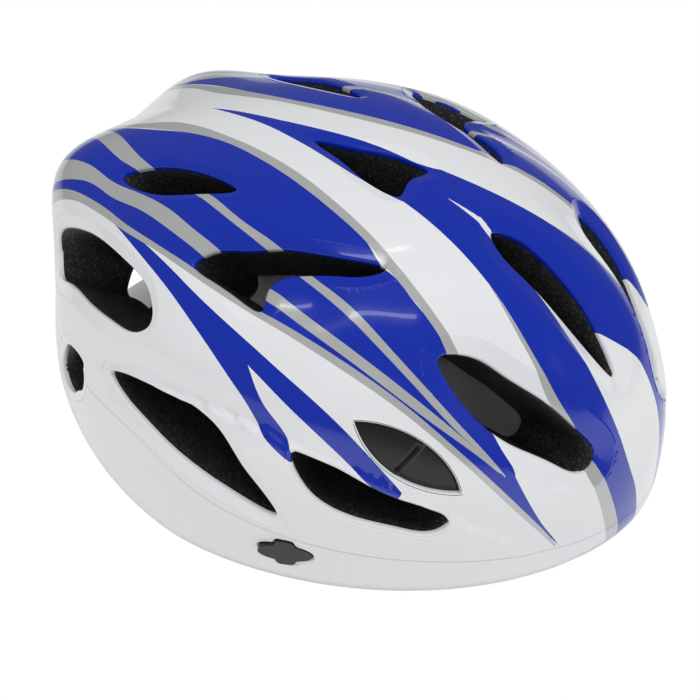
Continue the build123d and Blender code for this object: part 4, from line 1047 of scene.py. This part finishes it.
# each band or dart shows where its least distance inside both edges and both ends is above zero
def paint():
    material, nodes, links, shader = newMaterial("glossyPaint")

    def stripMask(key):
        upper, lower = attribute(nodes, key + "Upper"), attribute(nodes, key + "Lower")
        inside = math(nodes, links, "MINIMUM", upper, lower)
        inside = math(nodes, links, "MINIMUM", inside, attribute(nodes, key + "Ends"))
        return math(nodes, links, "GREATER_THAN", inside, 0.0)

    silver = stripMask("crest")
    for key in list(bands)[1:]:
        silver = math(nodes, links, "MAXIMUM", silver, stripMask(key))
    blue = math(nodes, links, "SUBTRACT", stripMask("dart"), stripMask("notch"))
    blue = math(nodes, links, "MAXIMUM", blue, stripMask("tip"))
    panels = math(nodes, links, "GREATER_THAN", attribute(nodes, "blue"), 0.0)
    blue = math(nodes, links, "MAXIMUM", blue, panels)
    colour = mixColour(nodes, links, blue, paintLook["white"], paintLook["blue"])
    colour = mixColour(nodes, links, silver, colour, paintLook["silver"])
    links.new(colour, shader.inputs["Base Color"])
    links.new(math(nodes, links, "MULTIPLY", silver, paintLook["silverMetal"]), shader.inputs["Metallic"])
    shader.inputs["Roughness"].default_value = paintLook["roughness"]
    shader.inputs["Coat Weight"].default_value = paintLook["coat"]
    shader.inputs["Coat Roughness"].default_value = paintLook["coatRoughness"]
    return material


# groove is the colour of the painted shade in the grooves between the beads, bead the colour of their tops
foamPaint = dict(groove=(0.008, 0.008, 0.0085), bead=(0.036, 0.036, 0.037), size=1.9, flat=3.4, speck=1800.0,
                 lift=0.35, roughness=0.55, bump=0.4)


# beads: distance to the nearest cell edge; the colour darker in the grooves between them is painted shade,
# the specks are random tone
def foamMaterial():
    material, nodes, links, shader = newMaterial("beadFoam")
    place = nodes.new("ShaderNodeTexCoord")
    cells = nodes.new("ShaderNodeTexVoronoi")
    cells.feature = "DISTANCE_TO_EDGE"
    cells.inputs["Scale"].default_value = 1000 / foamPaint["size"]
    links.new(place.outputs["Object"], cells.inputs["Vector"])
    bead = math(nodes, links, "MULTIPLY", cells.outputs["Distance"], foamPaint["flat"])
    bead = math(nodes, links, "MINIMUM", bead, 1.0)
    speck = nodes.new("ShaderNodeTexNoise")
    speck.inputs["Scale"].default_value = foamPaint["speck"]
    links.new(place.outputs["Object"], speck.inputs["Vector"])
    lifted = math(nodes, links, "ADD", speck.outputs["Fac"], foamPaint["lift"])
    bright = math(nodes, links, "MULTIPLY", bead, lifted)
    # painted shade: the colour darkens towards each bead's edge, and the specks vary it at random
    colour = mixColour(nodes, links, bright, foamPaint["groove"], foamPaint["bead"])
    links.new(colour, shader.inputs["Base Color"])
    relief = nodes.new("ShaderNodeBump")
    relief.inputs["Strength"].default_value = foamPaint["bump"]
    relief.inputs["Distance"].default_value = 0.0005
    links.new(math(nodes, links, "POWER", bead, 0.5), relief.inputs["Height"])
    links.new(relief.outputs["Normal"], shader.inputs["Normal"])
    shader.inputs["Roughness"].default_value = foamPaint["roughness"]
    return material


# one even colour
def plainMaterial(name, colour, roughness, metallic=0.0):
    material, _, _, shader = newMaterial(name)
    shader.inputs["Base Color"].default_value = (*colour, 1)
    shader.inputs["Roughness"].default_value = roughness
    shader.inputs["Metallic"].default_value = metallic
    return material


shells = makeShells()
print("stage: shells", [len(piece.data.vertices) for piece in shells])
foam = makeFoam()
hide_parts("eps_liner")
print("stage: foam", len(foam.data.vertices))

inserts = [makeInsert(sockets[0], "visorInsertLeft"), makeInsert(sockets[2], "visorInsertRight")]
print("stage: visor inserts", len(inserts[0].data.vertices))

glossyPaint = paint()
for piece in shells:
    piece.data.materials.append(glossyPaint)
foam.data.materials.append(foamMaterial())

grainLook = dict(scale=2600.0, strength=0.12)


# moulded plastic with a fine grain
def grainMaterial(name, colour, roughness, grain=1.0):
    material, nodes, links, shader = newMaterial(name)
    place = nodes.new("ShaderNodeTexCoord")
    noise = nodes.new("ShaderNodeTexNoise")
    noise.inputs["Scale"].default_value = grainLook["scale"]
    links.new(place.outputs["Object"], noise.inputs["Vector"])
    relief = nodes.new("ShaderNodeBump")
    relief.inputs["Strength"].default_value = grainLook["strength"] * grain
    relief.inputs["Distance"].default_value = 0.0002
    links.new(noise.outputs["Fac"], relief.inputs["Height"])
    links.new(relief.outputs["Normal"], shader.inputs["Normal"])
    shader.inputs["Base Color"].default_value = (*colour, 1)
    shader.inputs["Roughness"].default_value = roughness
    return material


wholeTurn = 6.2832
# light is the colour of the raised threads, colour the painted shade in the weave's troughs
webbingLook = dict(colour=(0.012, 0.012, 0.013), light=(0.030, 0.030, 0.032), rib=0.9, pitch=1.5, lean=0.6,
                   roughness=0.8, bump=0.7)


# herringbone: sine of (along + lean * |across|) / pitch, under ribs of sine of across / rib; the colour
# darker in the troughs is painted shade
def webbingMaterial():
    material, nodes, links, shader = newMaterial("webbing")
    across, along = attribute(nodes, "across"), attribute(nodes, "along")
    lean = math(nodes, links, "MULTIPLY", math(nodes, links, "ABSOLUTE", across), webbingLook["lean"])
    wave = math(nodes, links, "ADD", along, lean)
    wave = math(nodes, links, "MULTIPLY", wave, wholeTurn / webbingLook["pitch"])
    rib = math(nodes, links, "MULTIPLY", across, wholeTurn / webbingLook["rib"])
    height = math(nodes, links, "ADD", math(nodes, links, "SINE", wave), math(nodes, links, "COSINE", rib))
    height = math(nodes, links, "ADD", math(nodes, links, "MULTIPLY", height, 0.25), 0.5)
    # painted shade: the colour follows the weave's height, darker in its troughs
    links.new(mixColour(nodes, links, height, webbingLook["colour"], webbingLook["light"]),
              shader.inputs["Base Color"])
    relief = nodes.new("ShaderNodeBump")
    relief.inputs["Strength"].default_value = webbingLook["bump"]
    relief.inputs["Distance"].default_value = 0.0003
    links.new(height, relief.inputs["Height"])
    links.new(relief.outputs["Normal"], shader.inputs["Normal"])
    shader.inputs["Roughness"].default_value = webbingLook["roughness"]
    return material


# light is the colour of the loops' middles, colour the painted shade in the gaps between them
fabricLook = dict(colour=(0.013, 0.013, 0.015), light=(0.036, 0.036, 0.040), loops=1.1, disorder=0.35,
                  roughness=0.9, bump=0.8)


# knitted pad cover: round loops, their colour darker towards the gaps between them as painted shade
def fabricMaterial():
    material, nodes, links, shader = newMaterial("padFabric")
    place = nodes.new("ShaderNodeTexCoord")
    loops = nodes.new("ShaderNodeTexVoronoi")
    loops.inputs["Scale"].default_value = 1000 / fabricLook["loops"]
    loops.inputs["Randomness"].default_value = fabricLook["disorder"]
    links.new(place.outputs["Object"], loops.inputs["Vector"])
    height = math(nodes, links, "SUBTRACT", 1.0, loops.outputs["Distance"])
    # painted shade: the colour darkens from each loop's middle towards the gaps
    links.new(mixColour(nodes, links, height, fabricLook["colour"], fabricLook["light"]),
              shader.inputs["Base Color"])
    relief = nodes.new("ShaderNodeBump")
    relief.inputs["Strength"].default_value = fabricLook["bump"]
    relief.inputs["Distance"].default_value = 0.0003
    links.new(height, relief.inputs["Height"])
    links.new(relief.outputs["Normal"], shader.inputs["Normal"])
    shader.inputs["Roughness"].default_value = fabricLook["roughness"]
    return material


padFabric, webbing = fabricMaterial(), webbingMaterial()

# voxel size, passes of smoothing and swelling, in millimetres
padLook = dict(voxel=1.3, passes=14, swell=0.55, seam=0.5, seamWidth=0.7, fill=0.7)
strapLook = dict(voxel=0.55, passes=3, swell=0.12)


# a copy of a CAD node's mesh, closed anew in small faces, smoothed and swollen along its normals
def soften(nodeName, look):
    words = nodeName.split("_")
    name = words[0] + "".join(word.capitalize() for word in words[1:])
    piece = bpy.data.objects.new(name, frame["nodes"][nodeName].data.copy())
    bpy.context.scene.collection.objects.link(piece)
    close = piece.modifiers.new("close", "REMESH")
    close.mode = "VOXEL"
    close.voxel_size = look["voxel"] * 0.001
    rub = piece.modifiers.new("rub", "SMOOTH")
    rub.factor, rub.iterations = 0.5, look["passes"]
    swell = piece.modifiers.new("swell", "DISPLACE")
    swell.strength, swell.mid_level = look["swell"] * 0.001, 0.0
    mesh = bpy.data.meshes.new_from_object(piece.evaluated_get(bpy.context.evaluated_depsgraph_get()))
    piece.modifiers.clear()
    piece.data = mesh
    mesh.name = name
    points = np.zeros(3 * len(mesh.vertices))
    mesh.vertices.foreach_get("co", points)
    points = points.reshape(-1, 3) * 1000
    middle = points - points.mean(0)
    axes = np.linalg.eigh(middle.T @ middle)[1][:, ::-1]
    for key, values in (("along", middle @ axes[:, 0]), ("across", middle @ axes[:, 1])):
        mesh.attributes.new(key, "FLOAT", "POINT").data.foreach_set("value", values.astype(np.float32))
    mesh.polygons.foreach_set("use_smooth", np.full(len(mesh.polygons), True))
    return piece, points, axes


# sewn edge: a groove where the cover's two halves meet, half-way through the pad
def sewEdge(piece, points, through, look):
    normals = np.zeros(3 * len(points))
    piece.data.vertices.foreach_get("normal", normals)
    normals = normals.reshape(-1, 3)
    height = (points * through).sum(1)
    side = 1 - np.abs((normals * through).sum(1))
    low, high = np.percentile(height, 2), np.percentile(height, 98)
    groove = look["seam"] * bump(height, (low + high) / 2, look["seamWidth"]) * smoothStep(side * 2 - 0.8)
    piece.data.vertices.foreach_set("co", ((points - normals * groove[:, None]) * 0.001).ravel())
    piece.data.update()


padNames = ("brow_pad", "crown_pad_left", "crown_pad_right", "side_pad_left", "side_pad_right", "cradle_pad")
for name in padNames:
    piece, points, axes = soften(name, padLook)
    if name != "brow_pad":
        sewEdge(piece, points, axes[:, 2], padLook)
    piece.data.materials.clear()
    piece.data.materials.append(padFabric)
    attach(piece, "helmet")
    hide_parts(name)
print("stage: pads")

# where the chin strap starts to follow the buckle, and where each headband starts to follow its rack
bends = dict(strapFrom=(-0.042, 0.004, 0.0026), strapTo=(-0.016, 0.004, 0.0026),
             bandFrom=(0.066, 0.05, 0.02), bandTo=(0.028, 0.078, 0.02),
             narrowFrom=0.046, narrowRun=0.008, aboveRack=0.0206, belowRack=0.0194)
strapNames = ("front_strap_left", "front_strap_right", "rear_strap_left", "rear_strap_right",
              "chin_strap_left", "chin_strap_right")
for name in strapNames:
    piece, points, axes = soften(name, strapLook)
    piece.data.materials.clear()
    piece.data.materials.append(webbing)
    if name == "chin_strap_right":
        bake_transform(piece)
    else:
        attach(piece, "helmet")
    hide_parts(name)
bandPlastic = grainMaterial("bandPlastic", (0.012, 0.012, 0.013), 0.4)
for side, sign in (("left", 1), ("right", -1)):
    node = frame["nodes"]["headband_" + side]
    band = bpy.data.objects.new("headband" + side.capitalize(), node.data.copy())
    bpy.context.scene.collection.objects.link(band)
    # the end is narrowed beside the other side's rack: height kept on its own rack's side of the limit
    places = np.zeros(len(band.data.vertices) * 3)
    band.data.vertices.foreach_get("co", places)
    places = places.reshape(-1, 3)
    share = smoothStep((bends["narrowFrom"] - sign * places[:, 0]) / bends["narrowRun"]) * (places[:, 1] > 0)
    if side == "left":
        limit = np.maximum(places[:, 2], bends["aboveRack"])
    else:
        limit = np.minimum(places[:, 2], bends["belowRack"])
    places[:, 2] += share * (limit - places[:, 2])
    band.data.vertices.foreach_set("co", places.ravel())
    band.data.update()
    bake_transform(band)
    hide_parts("headband_" + side)
    band.data.materials.clear()
    band.data.materials.append(bandPlastic)
print("stage: straps and headband")

finishes = dict(
    black_plastic=grainMaterial("satinBlack", (0.010, 0.010, 0.011), 0.32),
    dial_rubber=grainMaterial("softBlack", (0.016, 0.016, 0.017), 0.62, 2.0),
    grey_plastic=grainMaterial("satinGrey", (0.12, 0.12, 0.125), 0.4),
    steel=plainMaterial("steel", (0.56, 0.56, 0.57), 0.25, 1.0),
    hook_tape=grainMaterial("hookTape", (0.03, 0.03, 0.03), 0.85, 4.0),
    keeper_rubber=grainMaterial("keeperRubber", (0.015, 0.015, 0.016), 0.65, 2.0),
)
for piece, side in zip(inserts, ("left", "right")):
    piece.data.materials.append(finishes["black_plastic"])
    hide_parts("visor_insert_" + side)
for entry in frame["record"]["subparts"]:
    node = frame["nodes"][entry["node"]]
    material = finishes.get(entry["material_slot"])
    if material is not None:
        for slot in node.material_slots:
            slot.material = material

view = dict(azimuth=-51.49, elevation=43.46, roll=-2.5, distance=0.56754, target=(0.05852, 0.0418, -0.03722),
            lens=58.99)


# camera = target + distance * (sine azimuth * cosine elevation, -cosine * cosine, sine elevation)
def placeCamera():
    azimuth, elevation, roll = np.radians([view["azimuth"], view["elevation"], view["roll"]])
    back = np.array([np.sin(azimuth) * np.cos(elevation), -np.cos(azimuth) * np.cos(elevation),
                     np.sin(elevation)])
    right = np.array([np.cos(azimuth), np.sin(azimuth), 0.0])
    up = np.cross(back, right)
    turnedRight = right * np.cos(roll) + up * np.sin(roll)
    turnedUp = -right * np.sin(roll) + up * np.cos(roll)
    place = Matrix.Identity(4)
    spot = np.array(view["target"]) + view["distance"] * back
    for index, axis in enumerate((turnedRight, turnedUp, back, spot)):
        for row in range(3):
            place[row][index] = axis[row]
    camera = bpy.data.objects.new("camera", bpy.data.cameras.new("camera"))
    camera.data.lens = view["lens"]
    camera.data.sensor_width = 36.0
    bpy.context.scene.collection.objects.link(camera)
    camera.matrix_world = place
    bpy.context.scene.camera = camera


placeCamera()

floorLook = dict(colour=(0.93, 0.93, 0.93), size=4.0, shadeHalf=(0.079, 0.114), shadeMiddle=0.016)
floorMesh = bpy.data.meshes.new("floor")
half = floorLook["size"] / 2
floorCorners = [(-half, -half, 0), (half, -half, 0), (half, half, 0), (-half, half, 0)]
floorMesh.from_pydata(floorCorners, [], [(0, 1, 2, 3)])
floor = bpy.data.objects.new("floor", floorMesh)
bpy.context.scene.collection.objects.link(floor)


# the floor shows plain white to the camera and lights the object as a pale surface
def floorMaterial():
    material, nodes, links, shader = newMaterial("paleFloor")
    shader.inputs["Base Color"].default_value = (*floorLook["colour"], 1)
    shader.inputs["Roughness"].default_value = 0.9
    path = nodes.new("ShaderNodeLightPath")
    glow = nodes.new("ShaderNodeEmission")
    mix = nodes.new("ShaderNodeMixShader")
    # under the helmet the floor shows its own shade: ellipse distance above 1 is open floor
    place = nodes.new("ShaderNodeTexCoord")
    stretch = nodes.new("ShaderNodeMapping")
    stretch.inputs["Scale"].default_value = (1 / floorLook["shadeHalf"][0], 1 / floorLook["shadeHalf"][1], 0)
    stretch.inputs["Location"].default_value = (0, -floorLook["shadeMiddle"] / floorLook["shadeHalf"][1], 0)
    length = nodes.new("ShaderNodeVectorMath")
    length.operation = "LENGTH"
    links.new(place.outputs["Object"], stretch.inputs["Vector"])
    links.new(stretch.outputs["Vector"], length.inputs[0])
    beyond = math(nodes, links, "GREATER_THAN", length.outputs["Value"], 1.0)
    links.new(math(nodes, links, "MULTIPLY", path.outputs["Is Camera Ray"], beyond), mix.inputs[0])
    links.new(shader.outputs[0], mix.inputs[1])
    links.new(glow.outputs[0], mix.inputs[2])
    # from below the floor is clear, so that the inside can be looked at
    clear = nodes.new("ShaderNodeBsdfTransparent")
    through = nodes.new("ShaderNodeMixShader")
    links.new(nodes.new("ShaderNodeNewGeometry").outputs["Backfacing"], through.inputs[0])
    links.new(mix.outputs[0], through.inputs[1])
    links.new(clear.outputs[0], through.inputs[2])
    links.new(through.outputs[0], nodes["Material Output"].inputs["Surface"])
    return material


floor.data.materials.append(floorMaterial())

# every lamp points at the same spot; the two tubes are the ones that glossy surfaces show
lightsAim = (0, 0, 0.05)
lightsLook = [
    dict(name="overhead", place=(-0.1, -0.1, 1.15), size=(0.7, 0.3), power=3.4, seen=False),
    dict(name="near", place=(-0.75, -0.35, 0.75), size=(0.25, 0.25), power=1.1, seen=False),
    dict(name="front", place=(0.25, -0.95, 0.6), size=(0.3, 0.2), power=1.3, seen=False),
    dict(name="tubeOne", place=(-0.25, -0.2, 1.1), size=(0.5, 0.035), power=0.25, seen=True),
    dict(name="tubeTwo", place=(0.05, 0.15, 1.2), size=(0.6, 0.035), power=0.3, seen=True),
]
for entry in lightsLook:
    lamp = bpy.data.lights.new(entry["name"], "AREA")
    lamp.shape = "RECTANGLE"
    lamp.size, lamp.size_y = entry["size"]
    lamp.energy = entry["power"]
    light = bpy.data.objects.new(entry["name"], lamp)
    bpy.context.scene.collection.objects.link(light)
    direction = np.array(lightsAim) - np.array(entry["place"])
    light.rotation_euler = Vector(direction).to_track_quat("-Z", "Y").to_euler()
    light.location = entry["place"]
    light.visible_glossy = entry["seen"]

worldLook = dict(diffuse=0.62, glossy=0.16)
world = bpy.data.worlds.new("studio")
bpy.context.scene.world = world
world.use_nodes = True


# the room is white to the camera, bright to matt surfaces and dim in reflections
def lightRoom():
    nodes, links = world.node_tree.nodes, world.node_tree.links
    background = nodes["Background"]
    background.inputs["Color"].default_value = (1, 1, 1, 1)
    path = nodes.new("ShaderNodeLightPath")
    step = worldLook["glossy"] - worldLook["diffuse"]
    dim = math(nodes, links, "MULTIPLY_ADD", path.outputs["Is Glossy Ray"], step)
    dim.node.inputs[2].default_value = worldLook["diffuse"]
    strength = math(nodes, links, "MAXIMUM", dim, path.outputs["Is Camera Ray"])
    links.new(strength, background.inputs["Strength"])


lightRoom()
bpy.context.scene.view_settings.view_transform = "Standard"
print("stage: lights and camera")
